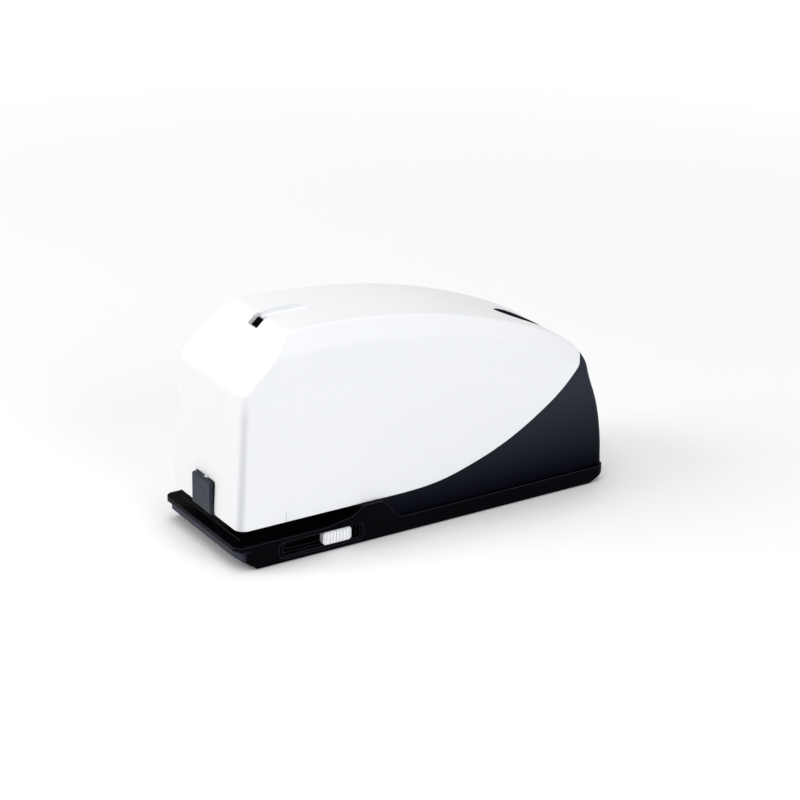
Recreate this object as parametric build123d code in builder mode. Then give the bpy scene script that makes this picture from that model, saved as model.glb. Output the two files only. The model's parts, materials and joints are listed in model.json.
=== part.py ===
from build123d import *
import math
import os

# ---------------------------------------------------------------------------
# Battery powered desk stapler.  Millimetres, +Z up, paper goes in from -Y,
# +X is the right side as seen from the front.
# Origin: middle of the footprint, on the surface the rubber feet stand on.
# Lengthwise places are stations, measured backwards (+Y) from the front lip.
# ---------------------------------------------------------------------------
os.makedirs("parts", exist_ok=True)

# Case
LENGTH = 202.5           # front lip to the rearmost point
BASE_HALF = 34.8         # half width of the base
SKIRT_Z = 0.4            # lower rim of the base's side walls
FLOOR_Z = 0.8            # underside of the plastic, above the feet
TABLE_Z = 12.1           # paper table
COVER_Z = 18.7           # lower edge of the cover, roof of the paper throat
SHELL_HALF_LOW = 32.65   # half width of the envelope at its bottom
SHELL_HALF_TOP = 30.9    # half width it would have at z = 108
WALL = 2.2               # wall of cover and housing
PLATE_T = 2.0            # bottom plate
FRONT_SCREWS = [(-22, 70), (22, 70)]         # x, station
REAR_SCREWS = [(-12, 186.5), (12, 186.5)]
CASE_SCREWS = FRONT_SCREWS + REAR_SCREWS
FEET = [(-22, 20), (21, 20), (-25, 185), (25, 185)]   # x, station
SCREW_PILOT_R = 1.15
DOOR_AXIS = (119.0, 1.8)       # hinge of the battery door: station, z
DOOR_PIN_R = 0.5

# Ports in the back wall
PORT_Z = 27.0
JACK_X, JACK_R = 14.0, 4.5
SWITCH_X, SWITCH_W, SWITCH_H = -14.0, 14.0, 12.0

# Paper handling
STOP_LEG_X = 16              # legs of the paper stop, either side
CARRIAGE_Z, CARRIAGE_T = 5.1, 2.2
SLIDER_Z = 6.2
TRIGGER_X = -10.0
TRIGGER_AXIS = (24.0, 6.5)   # station, z
TRIGGER_PIN_R = 1.0
ANVIL_S = 10.3
ANVIL_W, ANVIL_D, ANVIL_T = 19.8, 6.4, 1.2

# Drive
DRIVE_S = 8.0                # line on which the driver blade works
CAM_AXIS = (52.0, 70.0)      # station, z
PIVOT_S, PIVOT_Z = 97.0, 52.0
ARM_REST = math.radians(4.43)   # the arm stands this far above level at rest
CAM_R, CAM_RISE = 10.0, 7.0
CAM_SWEEP = 300.0            # working stroke of the cam (deg)
ROLLER_R = 4.0

# Frame: two steel plates, with the gear cover plate outside the right one
PLATE_IN, PLATE_OUT = 9.6, 11.0       # inner and outer face, distance from x = 0
PLATE_GAUGE = PLATE_OUT - PLATE_IN
COVERPL_IN, COVERPL_OUT = 23.6, 24.8
FRAME_SCREWS = [(33, 80), (66, 35.5), (30, 36), (104, 12)]   # station, z
COVER_POSTS = [(32.0, 50.0), (66.0, 44.0), (106.0, 34.0)]
BOARD_POSTS = [(37, 42), (99, 67), (100, 44)]
SPINDLE_R = 2.0              # pivot and gear spindles
CAM_SHAFT_R = 3.0
MOTOR_R = 12.0
MOTOR_SHAFT_R = 1.0

# Gears
SLOW_MODULE, FAST_MODULE = 1.0, 0.8
CAM_TEETH, SMALL_TEETH, BIG2_TEETH, BIG1_TEETH, PINION_TEETH = 44, 12, 48, 50, 12
SLOW_IN, SLOW_OUT = 12.8, 16.8        # X layer of the cam gear
MID_IN, MID_OUT = 17.2, 20.0          # X layer of reduction gear 2's wheel
FAST_IN, FAST_OUT = 20.4, 22.8        # X layer of reduction gear 1's wheel

# Batteries and boards
BATTERY_S = 148.0
CELL_PITCH, CELL_Z = 15.0, 11.2
CELL_STATIONS = [BATTERY_S + (k - 1.5) * CELL_PITCH for k in range(4)]
CELL_END = 24.8              # x of a cell's flat end
BOARD_T = 1.6
BOARD_X = -25.0              # inner face of the control board
LAMP_S = 171
LAMP_BOARD_TOP = 51.8
LAMP_POST_X = 12.5


# ------------------------------------------------------------------- helpers
def y(station):
    """Y of a station."""
    return station - LENGTH / 2


def point(station, z):
    """Sketch point on a side plane."""
    return (y(station), z)


def points(rows):
    """Side plane points from rows of (station, z)."""
    return [point(*row) for row in rows]


def plan(rows):
    """Plan view points from rows of (x, station)."""
    return [(x, y(station)) for x, station in rows]


def side_plane(x):
    """Plane across X; extrudes towards +X."""
    return Plane.YZ.offset(x)


def cross_plane(station):
    """Plane across Y; extrudes towards the front, so negative amounts run back."""
    return Plane.XZ.offset(-y(station))


def level(z):
    """Horizontal plane; extrudes upwards."""
    return Plane.XY.offset(z)


def polar(centre, radius, degrees):
    angle = math.radians(degrees)
    return (centre[0] + radius * math.cos(angle), centre[1] + radius * math.sin(angle))


def save(part, name):
    part.label = name
    export_step(part, f"parts/{name}.step")


def coil_spring(name, pitch, height, radius, centre, direction, wire_r):
    with BuildPart() as spring:
        with BuildLine() as coil:
            Helix(pitch=pitch, height=height, radius=radius, center=centre, direction=direction)
        with BuildSketch(Plane(origin=coil.line @ 0, z_dir=coil.line % 0)):
            Circle(wire_r)
        sweep(path=coil.line, is_frenet=True)
    save(spring.part, name)


# Gear centres (station, z), from the cam gear back to the motor
GEAR2_AXIS = polar(CAM_AXIS, SLOW_MODULE * (SMALL_TEETH + CAM_TEETH) / 2, -15)
GEAR1_AXIS = polar(GEAR2_AXIS, FAST_MODULE * (SMALL_TEETH + BIG2_TEETH) / 2, -10)
MOTOR_AXIS = polar(GEAR1_AXIS, FAST_MODULE * (PINION_TEETH + BIG1_TEETH) / 2, 0)
MOTOR_SCREWS = [(MOTOR_AXIS[0], MOTOR_AXIS[1] + dz) for dz in (8.5, -8.5)]

# ------------------------------------------------------------ outer envelope
# Side view outlines, rows of (station, z)
TOP_LINE = [
    (32, 105.6), (44, 106.1), (57.2, 105.7), (74.1, 104.5), (95.7, 101.8), (109, 99.4),
    (122.2, 96.4), (140.3, 91.2), (158.7, 84.6), (174, 78.0), (186.5, 71.3),
]
REAR_LINE = [
    (190.4, 66.0), (193.4, 57.0), (197.9, 43.8), (201.1, 29.0), (202.2, 17.6),
    (202.45, 9.0), (202.5, 7.9),
]
# Seam between cover and rear housing, rising to the rear; the first leg is straight
SEAM_LINE = [
    (76.3, 18.5), (84.5, 18.5), (97.5, 18.9), (110.7, 20.5), (123.9, 23.9), (137.2, 28.4),
    (150.6, 34.4), (164.0, 42.2), (177.4, 52.0), (187.4, 62.6), (195.4, 72.5),
]
BEVEL_X, BEVEL_W, BEVEL_H = 24.2, 6.8, 8.6   # start, run and drop of the shoulder bevels
BEVEL_LEAD = 4                               # the bevel cut starts this far inside
ENVELOPE_BOTTOM = REAR_LINE[-1][1]


def envelope_solid(inset, bottom_z, corner_front, corner_rear):
    """Outer form of cover and housing together, moved inwards by inset."""
    top = [(s, z - inset * 1.03) for s, z in TOP_LINE]
    rear = [(s - inset, z) for s, z in REAR_LINE]
    half_low, half_top = SHELL_HALF_LOW - inset, SHELL_HALF_TOP - inset
    with BuildPart() as envelope:
        with BuildSketch(Plane.YZ):
            with BuildLine():
                Polyline(*points([(rear[-1][0], bottom_z), (2.7 + inset, bottom_z),
                                  (2.7 + inset, COVER_Z), (6.0 + inset, 81.6 - 0.4 * inset),
                                  top[0]]))
                Spline(*points(top))
                Line(point(*top[-1]), point(*rear[0]))
                Spline(*points(rear))
                if abs(bottom_z - rear[-1][1]) > 1e-6:
                    Line(point(*rear[-1]), point(rear[-1][0], bottom_z))
            make_face()
        extrude(amount=36, both=True)
        # side walls leaning inwards
        with BuildSketch(Plane.XZ.offset(120)):
            with BuildLine():
                Polyline((-half_low, bottom_z), (half_low, bottom_z), (half_top, 108),
                         (-half_top, 108), close=True)
            make_face()
        extrude(amount=-240, mode=Mode.INTERSECT)
        fillet(envelope.edges().filter_by(
            lambda e: abs(e.center().X) > 27 and e.center().Y > y(184)
            and bottom_z + 0.5 < e.center().Z < 71), corner_rear)
        fillet(envelope.edges().filter_by(
            lambda e: abs(e.center().X) > 27 and y(2) < e.center().Y < y(9)
            and e.length > 50), corner_front)
        # shoulder bevels: a prism of the top line sheared outwards and down
        start_x = BEVEL_X - inset * 0.6 - BEVEL_LEAD
        lift = BEVEL_LEAD * BEVEL_H / BEVEL_W
        raised = [(s, z + lift) for s, z in top]
        beyond = (top[-1][0] + 30, top[-1][1] - 14 + lift)
        for sign in (1, -1):
            with BuildSketch(side_plane(sign * start_x)):
                with BuildLine():
                    Polyline(*points([beyond, (beyond[0], 150), (-10, 150),
                                      (-10, raised[0][1]), raised[0]]))
                    Spline(*points(raised))
                    Line(point(*raised[-1]), point(*beyond))
                make_face()
            extrude(amount=24, dir=(sign * BEVEL_W, 0, -BEVEL_H), mode=Mode.SUBTRACT)
    return envelope.part


OUTER = envelope_solid(0.0, ENVELOPE_BOTTOM, 5.0, 4.0)
INNER = envelope_solid(WALL, 4.0, 3.2, 2.4)

# -------------------------------------------------------------- rear housing
HOUSING_Z = 8.2          # lower edge
REAR_POST_Z = 3.1

with BuildPart() as rear_housing:
    add(OUTER)
    # everything above the seam and in front of the diagonal joint goes
    with BuildSketch(Plane.YZ):
        with BuildLine():
            Polyline(*points([SEAM_LINE[-1], (260, 72.5), (260, 140), (-20, 140), (-20, 0),
                              (86.4, 0), (86.4, 8.4), SEAM_LINE[0]]))
            Line(point(*SEAM_LINE[0]), point(*SEAM_LINE[1]))
            Spline(*points(SEAM_LINE[1:]))
        make_face()
    extrude(amount=60, both=True, mode=Mode.SUBTRACT)
    with BuildSketch(level(HOUSING_Z)):
        Rectangle(120, 320)
    extrude(amount=-8, mode=Mode.SUBTRACT)
    add(INNER, mode=Mode.SUBTRACT)
    # two posts for the rear case screws, tied to the back wall by ribs
    with BuildSketch(level(REAR_POST_Z)):
        with Locations(*plan(REAR_SCREWS)):
            Circle(3.1)
    extrude(amount=13.5)
    with BuildSketch(level(HOUSING_Z)):
        with Locations(*[(x, y(194.0)) for x, _ in REAR_SCREWS]):
            Rectangle(1.6, 13.4)
    extrude(amount=8.4)
    with BuildSketch(level(REAR_POST_Z)):
        with Locations(*plan(REAR_SCREWS)):
            Circle(SCREW_PILOT_R)
    extrude(amount=11, mode=Mode.SUBTRACT)
    # openings in the back wall for the rocker switch and the power socket
    with BuildSketch(cross_plane(190)):
        with Locations((SWITCH_X, PORT_Z)):
            Rectangle(SWITCH_W + 0.4, SWITCH_H + 0.4)
        with Locations((JACK_X, PORT_Z)):
            Circle(JACK_R + 0.1)
    extrude(amount=-20, mode=Mode.SUBTRACT)
save(rear_housing.part, "rear_housing")

# ----------------------------------------------------------------- top cover
SEAM_GAP_S, SEAM_GAP_Z = 0.1, 0.12
ABOVE_CASE = 110         # cuts from above start here
SEAM_END_S, SEAM_END_Z = SEAM_LINE[-1]
# right half of the leaf-shaped lens opening, rows of (x, station)
LEAF = [(0, 158), (6.8, 165), (8.2, 172), (5.6, 180), (0, 187.2)]

with BuildPart() as top_cover:
    add(OUTER)
    add(INNER, mode=Mode.SUBTRACT)
    # lower edge and the seam to the rear housing, with a fine gap
    with BuildSketch(Plane.YZ):
        with BuildLine():
            cut_z = SEAM_END_Z + SEAM_GAP_Z
            Polyline(*points([(SEAM_END_S + SEAM_GAP_S, cut_z), (260, cut_z), (260, -20),
                              (-20, -20), (-20, COVER_Z), (SEAM_LINE[1][0], COVER_Z)]))
            Spline(point(SEAM_LINE[1][0], COVER_Z),
                   *[point(s - SEAM_GAP_S, z + SEAM_GAP_Z) for s, z in SEAM_LINE[2:]])
            Line(point(SEAM_END_S - SEAM_GAP_S, cut_z), point(SEAM_END_S + SEAM_GAP_S, cut_z))
        make_face()
    extrude(amount=60, both=True, mode=Mode.SUBTRACT)
    # opening for the magazine front
    with BuildSketch(cross_plane(0)):
        with Locations((0, 25.85)):
            Rectangle(17.8, 16.9)
    extrude(amount=-9, mode=Mode.SUBTRACT)
    # fine upright grooves in the side walls near the front
    for sign in (1, -1):
        with BuildSketch(side_plane(sign * 32.0)):
            with Locations(point(27.0, 21.0)):
                Rectangle(0.3, 5.2)
        extrude(amount=sign * 4, mode=Mode.SUBTRACT)
    # slot cut through the upper end of the front facet
    with BuildSketch(level(ABOVE_CASE)):
        with Locations((0, y(30.6))):
            RectangleRounded(8.6, 5.8, 0.6)
    extrude(amount=-14, mode=Mode.SUBTRACT)
    # shallow groove behind the slot
    with BuildSketch(level(ABOVE_CASE)):
        with Locations((0, y(45.0))):
            SlotOverall(23.5, 8.0, rotation=90)
    extrude(amount=-5.6, mode=Mode.SUBTRACT)
    # lens opening, a pointed leaf
    with BuildSketch(level(ABOVE_CASE)):
        with BuildLine():
            Spline(*plan(LEAF))
            Spline(*plan([(-x, s) for x, s in reversed(LEAF)]))
        make_face()
    extrude(amount=-41, mode=Mode.SUBTRACT)
    # two posts under the roof that carry the lamp board
    with BuildSketch(level(LAMP_BOARD_TOP)):
        with Locations((-LAMP_POST_X, y(LAMP_S)), (LAMP_POST_X, y(LAMP_S))):
            Circle(2.0)
    extrude(amount=77.9 - LAMP_BOARD_TOP)
save(top_cover.part, "top_cover")

# --------------------------------------------------------------- status lens
LENS_TOP, LENS_BOTTOM = 0.25, 1.85      # depths below the top line
LENS_LINE = TOP_LINE[6:]
# right half of the lens outline, rows of (x, station)
LENS_LEAF = [(0, 158.4), (6.5, 165.1), (7.95, 172), (5.3, 179.8), (0, 186.2)]

with BuildPart() as status_lens:
    with BuildSketch(Plane.YZ):
        with BuildLine():
            for depth in (LENS_TOP, LENS_BOTTOM):
                Spline(*[point(s, z - depth) for s, z in LENS_LINE])
            for s, z in (LENS_LINE[0], LENS_LINE[-1]):
                Line(point(s, z - LENS_TOP), point(s, z - LENS_BOTTOM))
        make_face()
    extrude(amount=12, both=True)
    with BuildSketch(level(ABOVE_CASE)):
        with BuildLine():
            Spline(*plan(LENS_LEAF))
            Spline(*plan([(-x, s) for x, s in reversed(LENS_LEAF)]))
        make_face()
    extrude(amount=-60, mode=Mode.INTERSECT)
save(status_lens.part, "status_lens")

# ---------------------------------------------------------------------- base
DECK_T = 2.0             # table thickness
DECK_UNDER = TABLE_Z - DECK_T
FRONT_POST_Z = 3.0
SLIDER_BLOCK_X = 28.2    # inner face of the slider block
# side outline up to the ramp behind the table, rows of (station, z)
BASE_OUTLINE = [
    (65.2, 18.4), (76.0, 18.4), (86.1, 8.1), (LENGTH, 8.1), (202.3, 5.0), (193.5, SKIRT_Z),
    (10.6, SKIRT_Z), (1.2, 6.5), (1.2, 9.4), (0, 9.8), (0, TABLE_Z), (45.7, TABLE_Z),
]
BASE_RAMP = [(45.7, TABLE_Z), (53.6, 13.5), (60.0, 14.6), (63.4, 16.6), (65.2, 18.4)]
BASE_HOLLOW = [
    (3.2, DECK_UNDER), (63.0, DECK_UNDER), (66.0, 16.4), (76.0, 16.4), (78.0, 30),
    (200.4, 30), (200.4, 6.0), (191.4, 2.8), (191.4, 0), (13.2, 0), (13.2, 2.4), (3.2, 7.4),
]
# plan corners: station of the edge, radius, lowest z, highest z, way into the body
BASE_CORNERS = [
    (0.0, 4.2, 9.4, 14.0, 1),          # lip
    (1.2, 7.0, -1.0, 9.6, 1),          # wall below the lip
    (LENGTH, 5.0, -1.0, 11.0, -1),     # rear
]

with BuildPart() as base_shell:
    with BuildSketch(Plane.YZ):
        with BuildLine():
            Polyline(*points(BASE_OUTLINE))
            Spline(*points(BASE_RAMP), tangents=[(1, 0), (0.55, 1)])
        make_face()
    extrude(amount=BASE_HALF, both=True)
    for sign in (1, -1):
        for edge_s, radius, z_low, z_high, inward in BASE_CORNERS:
            with BuildSketch(level(z_low)):
                with Locations((sign * BASE_HALF, y(edge_s))):
                    Rectangle(2 * radius, 2 * radius)
                with Locations((sign * (BASE_HALF - radius), y(edge_s + inward * radius))):
                    Circle(radius, mode=Mode.SUBTRACT)
            extrude(amount=z_high - z_low, mode=Mode.SUBTRACT)
    # the table runs flat between the side cheeks of the throat
    with BuildSketch(level(TABLE_Z)):
        with Locations((0, y(53))):
            Rectangle(49.0, 19.0)
    extrude(amount=12, mode=Mode.SUBTRACT)
    # inside of the base, open underneath
    with BuildSketch(Plane.YZ):
        with BuildLine():
            Polyline(*points(BASE_HOLLOW), close=True)
        make_face()
    extrude(amount=BASE_HALF - 2.8, both=True, mode=Mode.SUBTRACT)
    # block that carries the slider recess in the right side wall
    with BuildSketch(level(FLOOR_Z)):
        with Locations(((SLIDER_BLOCK_X + BASE_HALF - 1) / 2, y(43.5))):
            Rectangle(BASE_HALF - 1 - SLIDER_BLOCK_X, 49)
    extrude(amount=TABLE_Z - 1 - FLOOR_Z)
    # wide shallow dish and the deeper track inside it
    with BuildSketch(side_plane(BASE_HALF + 1)):
        with Locations(point(43.8, 6.1)):
            RectangleRounded(44.0, 7.9, 2.4)
    extrude(amount=-1 - 1.5, mode=Mode.SUBTRACT)
    with BuildSketch(side_plane(BASE_HALF + 1)):
        with Locations(point(44.5, SLIDER_Z)):
            RectangleRounded(40.0, 6.9, 1.8)
    extrude(amount=-1 - 4.0, mode=Mode.SUBTRACT)
    # slot for the slider's stem
    with BuildSketch(side_plane(BASE_HALF)):
        with Locations(point(44.0, SLIDER_Z)):
            SlotOverall(34.0, 3.2)
    extrude(amount=-9, mode=Mode.SUBTRACT)
    # slots in the table for the legs of the paper stop and for the trigger lever
    with BuildSketch(level(TABLE_Z + 1)):
        with Locations((-STOP_LEG_X, y(42)), (STOP_LEG_X, y(42))):
            SlotOverall(30, 2.4, rotation=90)
        with Locations((TRIGGER_X, y(27.8))):
            SlotOverall(13.5, 4.2, rotation=90)
    extrude(amount=-4, mode=Mode.SUBTRACT)
    # seat for the anvil
    with BuildSketch(level(TABLE_Z)):
        with Locations((0, y(ANVIL_S))):
            RectangleRounded(ANVIL_W + 0.2, ANVIL_D + 0.2, 1.0)
    extrude(amount=-ANVIL_T, mode=Mode.SUBTRACT)
    # guide line across the table
    with BuildSketch(level(TABLE_Z)):
        with Locations((-1.5, y(6.0))):
            Rectangle(57, 0.5)
    extrude(amount=-0.35, mode=Mode.SUBTRACT)
    # lugs for the trigger lever's pin
    with BuildSketch(level(DECK_UNDER)):
        with Locations((TRIGGER_X - 4.2, y(24)), (TRIGGER_X + 4.2, y(24))):
            Rectangle(2.0, 5.0)
    extrude(amount=-6.2)
    with BuildSketch(side_plane(-16)):
        with Locations(point(*TRIGGER_AXIS)):
            Circle(TRIGGER_PIN_R)
    extrude(amount=12, mode=Mode.SUBTRACT)
    # front screw posts
    with BuildSketch(level(FRONT_POST_Z)):
        with Locations(*plan(FRONT_SCREWS)):
            Circle(3.0)
    extrude(amount=13.6)
    with BuildSketch(level(FRONT_POST_Z)):
        with Locations(*plan(FRONT_SCREWS)):
            Circle(SCREW_PILOT_R)
    extrude(amount=11, mode=Mode.SUBTRACT)
save(base_shell.part, "base_shell")

# -------------------------------------------------------------- bottom plate
# plan outline, clear of the slider block at the front right: (x, station)
BOTTOM_OUTLINE = [
    (-31.8, 13.5), (27.9, 13.5), (27.9, 68.4), (31.8, 68.4), (31.8, 191.1), (-31.8, 191.1),
]
# holes from below: places, radius, depth
BOTTOM_HOLES = [
    (CASE_SCREWS, 1.6, PLATE_T),      # screw shanks
    (CASE_SCREWS, 2.9, 1.0),          # screw heads
    (FEET, 4.6, 0.7),                 # seats of the feet
]

with BuildPart() as bottom_plate:
    with BuildSketch(level(FLOOR_Z)):
        with BuildLine():
            Polyline(*plan(BOTTOM_OUTLINE), close=True)
        make_face()
        with Locations((0, y(BATTERY_S))):
            Rectangle(54.6, 61.0, mode=Mode.SUBTRACT)
    extrude(amount=PLATE_T)
    for places, radius, depth in BOTTOM_HOLES:
        with BuildSketch(level(FLOOR_Z)):
            with Locations(*plan(places)):
                Circle(radius)
        extrude(amount=depth, mode=Mode.SUBTRACT)
    # pin holes for the battery door
    with BuildSketch(side_plane(-29.5)):
        with Locations(point(*DOOR_AXIS)):
            Circle(DOOR_PIN_R)
    extrude(amount=59, mode=Mode.SUBTRACT)
    # two groups of slots, left and right
    with BuildSketch(level(FLOOR_Z)):
        with Locations(*[(x, y(92)) for x in (-26, -22, -18, 18, 22, 26)]):
            SlotOverall(14, 1.4, rotation=90)
    extrude(amount=PLATE_T, mode=Mode.SUBTRACT)
save(bottom_plate.part, "bottom_plate")

# -------------------------------------------------------------- battery door
DOOR_W = 53.6
GRIP_S = 172
SNAP_OUTLINE = [
    (176.4, 2.6), (177.6, 2.6), (177.6, 3.0), (177.9, 3.2), (177.3, 3.9), (176.4, 3.9),
]

with BuildPart() as battery_door:
    with BuildSketch(level(FLOOR_Z)):
        with Locations((0, y(148.6))):
            Rectangle(DOOR_W, 59.2)
    extrude(amount=1.9)
    # hinge barrel and its bore
    for radius, mode in ((1.0, Mode.ADD), (0.55, Mode.SUBTRACT)):
        with BuildSketch(side_plane(-DOOR_W / 2)):
            with Locations(point(*DOOR_AXIS)):
                Circle(radius)
        extrude(amount=DOOR_W, mode=mode)
    # thumb recess and three grip ribs near the free edge
    with BuildSketch(level(FLOOR_Z)):
        with Locations((0, y(GRIP_S))):
            SlotOverall(18, 6)
    extrude(amount=0.8, mode=Mode.SUBTRACT)
    with BuildSketch(level(FLOOR_Z + 0.2)):
        with Locations(*[(0, y(GRIP_S + offset)) for offset in (-1.4, 0, 1.4)]):
            Rectangle(12, 0.6)
    extrude(amount=0.7)
    # snap tongue at the free edge
    with BuildSketch(Plane.YZ):
        with BuildLine():
            Polyline(*points(SNAP_OUTLINE), close=True)
        make_face()
    extrude(amount=6, both=True)
save(battery_door.part, "battery_door")

# ------------------------------------------------------ feet and case screws
with BuildPart() as rubber_feet:
    with BuildSketch(Plane.XY):
        with Locations(*plan(FEET)):
            Circle(4.5)
    extrude(amount=1.5)
    chamfer(rubber_feet.edges().group_by(Axis.Z)[0], 0.4)
save(rubber_feet.part, "rubber_feet")

HEAD_Z = FLOOR_Z + 0.05

with BuildPart() as case_screws:
    # heads, then shanks
    for radius, height in ((2.6, 0.95), (1.1, 11)):
        with BuildSketch(level(HEAD_Z)):
            with Locations(*plan(CASE_SCREWS)):
                Circle(radius)
        extrude(amount=height)
    # cross slots
    with BuildSketch(level(HEAD_Z)):
        with Locations(*plan(CASE_SCREWS)):
            Rectangle(3.0, 0.6)
            Rectangle(0.6, 3.0)
    extrude(amount=0.5, mode=Mode.SUBTRACT)
save(case_screws.part, "case_screws")

# --------------------------------------------------------------------- anvil
with BuildPart() as anvil_plate:
    with BuildSketch(level(TABLE_Z - ANVIL_T)):
        with Locations((0, y(ANVIL_S))):
            RectangleRounded(ANVIL_W, ANVIL_D, 1.0)
    extrude(amount=ANVIL_T)
    # two clinching pockets that turn the staple's legs inwards
    with BuildSketch(level(TABLE_Z)):
        with Locations((-4.2, y(DRIVE_S)), (4.2, y(DRIVE_S))):
            SlotOverall(6.4, 1.4)
    extrude(amount=-0.55, mode=Mode.SUBTRACT)
save(anvil_plate.part, "anvil_plate")

# -------------------------------------------------- depth slider, right side
KNOB_S = 52.3
KNOB_IN, KNOB_OUT = 31.2, 34.6
CARRIAGE_S, STOP_S = 51.5, 50.5
CARRIAGE_TOP = CARRIAGE_Z + CARRIAGE_T

with BuildPart() as slider_knob:
    with BuildSketch(side_plane(KNOB_IN)):
        with Locations(point(KNOB_S, SLIDER_Z)):
            RectangleRounded(15.0, 6.5, 1.7)
    extrude(amount=KNOB_OUT - KNOB_IN)
    chamfer(slider_knob.faces().sort_by(Axis.X)[-1].edges(), 0.7)
    # grip grooves
    with BuildSketch(side_plane(KNOB_OUT + 0.2)):
        with GridLocations(1.7, 1.0, 8, 1):
            with Locations(point(KNOB_S, SLIDER_Z)):
                Rectangle(0.5, 6.6)
    extrude(amount=-0.65, mode=Mode.SUBTRACT)
save(slider_knob.part, "slider_knob")

with BuildPart() as slider_carriage:
    # crossbar, and the stem to the knob
    with BuildSketch(level(CARRIAGE_Z)):
        with Locations((0, y(CARRIAGE_S))):
            Rectangle(44, 7.0)
        with Locations((24.3, y(CARRIAGE_S))):
            Rectangle(13.8, 5.0)
    extrude(amount=CARRIAGE_T)
    with BuildSketch(level(CARRIAGE_Z)):
        with Locations((0, y(CARRIAGE_S))):
            SlotOverall(20, 3.0)
    extrude(amount=CARRIAGE_T, mode=Mode.SUBTRACT)
save(slider_carriage.part, "slider_carriage")

with BuildPart() as paper_stop:
    with BuildSketch(level(12.5)):
        with Locations((0, y(STOP_S))):
            RectangleRounded(42, 2.4, 0.6)
    extrude(amount=4.9)
    # legs down to the carriage
    with BuildSketch(level(CARRIAGE_TOP)):
        with Locations((-STOP_LEG_X, y(STOP_S)), (STOP_LEG_X, y(STOP_S))):
            Rectangle(1.8, 2.4)
    extrude(amount=5.3)
    # notch in the middle of the upper edge
    with BuildSketch(level(17.4)):
        with Locations((0, y(STOP_S))):
            Rectangle(14, 4)
    extrude(amount=-3.2, mode=Mode.SUBTRACT)
save(paper_stop.part, "paper_stop")

# --------------------------------------------------- paper trigger and switch
TRIGGER_S, TRIGGER_Z = TRIGGER_AXIS
FINGER_OUTLINE = [
    (TRIGGER_S - 1.3, TRIGGER_Z), (TRIGGER_S - 1.0, 15.6), (TRIGGER_S - 0.2, 16.5),
    (TRIGGER_S + 0.7, 16.0), (TRIGGER_S + 1.3, TRIGGER_Z),
]

with BuildPart() as trigger_lever:
    with BuildSketch(side_plane(TRIGGER_X - 1.5)):
        with Locations(point(*TRIGGER_AXIS)):
            Circle(2.6)
        with BuildLine():
            Polyline(*points(FINGER_OUTLINE), close=True)
        make_face()
    extrude(amount=3.0)
    # hub and bore
    with BuildSketch(side_plane(TRIGGER_X - 2.4)):
        with Locations(point(*TRIGGER_AXIS)):
            Circle(2.0)
    extrude(amount=4.8)
    with BuildSketch(side_plane(TRIGGER_X - 3)):
        with Locations(point(*TRIGGER_AXIS)):
            Circle(TRIGGER_PIN_R + 0.05)
    extrude(amount=6, mode=Mode.SUBTRACT)
save(trigger_lever.part, "trigger_lever")

with BuildPart() as hinge_pins:
    # battery door pin, then trigger pin: left end, axis, radius, length
    for x, axis, radius, length in ((-29.4, DOOR_AXIS, DOOR_PIN_R, 58.8),
                                    (-15.4, TRIGGER_AXIS, TRIGGER_PIN_R, 10.8)):
        with BuildSketch(side_plane(x)):
            with Locations(point(*axis)):
                Circle(radius)
        extrude(amount=length)
save(hinge_pins.part, "hinge_pins")

with BuildPart() as trigger_switch:
    # body, and the lower block in front of it: station, width, depth, height
    for station, width, depth, height in ((37.2, 6.0, 8.0, 1.8), (32.5, 3.0, 2.0, 1.4)):
        with BuildSketch(level(3.0)):
            with Locations((TRIGGER_X, y(station))):
                Rectangle(width, depth)
        extrude(amount=height)
save(trigger_switch.part, "trigger_switch")

# ------------------------------------------------------------ staple magazine
RAIL_BOTTOM, RAIL_TOP = 19.9, 25.6
RAIL_FRONT, RAIL_REAR = 8.6, 80.0
CHANNEL_FRONT, CHANNEL_REAR = 8.7, 81.0
CHANNEL_Z, CHANNEL_H = 23.2, 8.4
CHEEK_S, CHEEK_X, CHEEK_T = 7.4, 7.6, 0.8
MAG_FRONT_Z = 24.2
STRIP_S, STRIP_LENGTH = 8.8, 26.0
PUSHER_S = 35.2
ROD_Z, ROD_R = 23.6, 1.0
GUIDE_FRONT, GUIDE_REAR = 16.0, 64.0
# front view of the finger plate, wider at its lower right: (x, z)
FINGER_PLATE = [
    (-8.5, COVER_Z), (-8.5, 33.0), (-7.6, 34.0), (7.6, 34.0), (8.5, 33.0), (8.5, 24.0),
    (9.4, COVER_Z),
]

with BuildPart() as staple_rail:
    # U section, open at the top
    with BuildSketch(cross_plane(RAIL_FRONT)):
        with Locations((0, (RAIL_BOTTOM + RAIL_TOP) / 2)):
            Rectangle(11.2, RAIL_TOP - RAIL_BOTTOM)
        with Locations((0, (21.4 + RAIL_TOP + 1) / 2)):
            Rectangle(5.0, RAIL_TOP + 1 - 21.4, mode=Mode.SUBTRACT)
    extrude(amount=-(RAIL_REAR - RAIL_FRONT))
    # closed rear end that holds the spring rod
    with BuildSketch(cross_plane(RAIL_REAR - 2)):
        with Locations((0, 23.4)):
            Rectangle(5.2, 4.4)
    extrude(amount=-2.0)
    with BuildSketch(cross_plane(RAIL_REAR - 3)):
        with Locations((0, ROD_Z)):
            Circle(ROD_R)
    extrude(amount=-4.0, mode=Mode.SUBTRACT)
save(staple_rail.part, "staple_rail")

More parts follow.
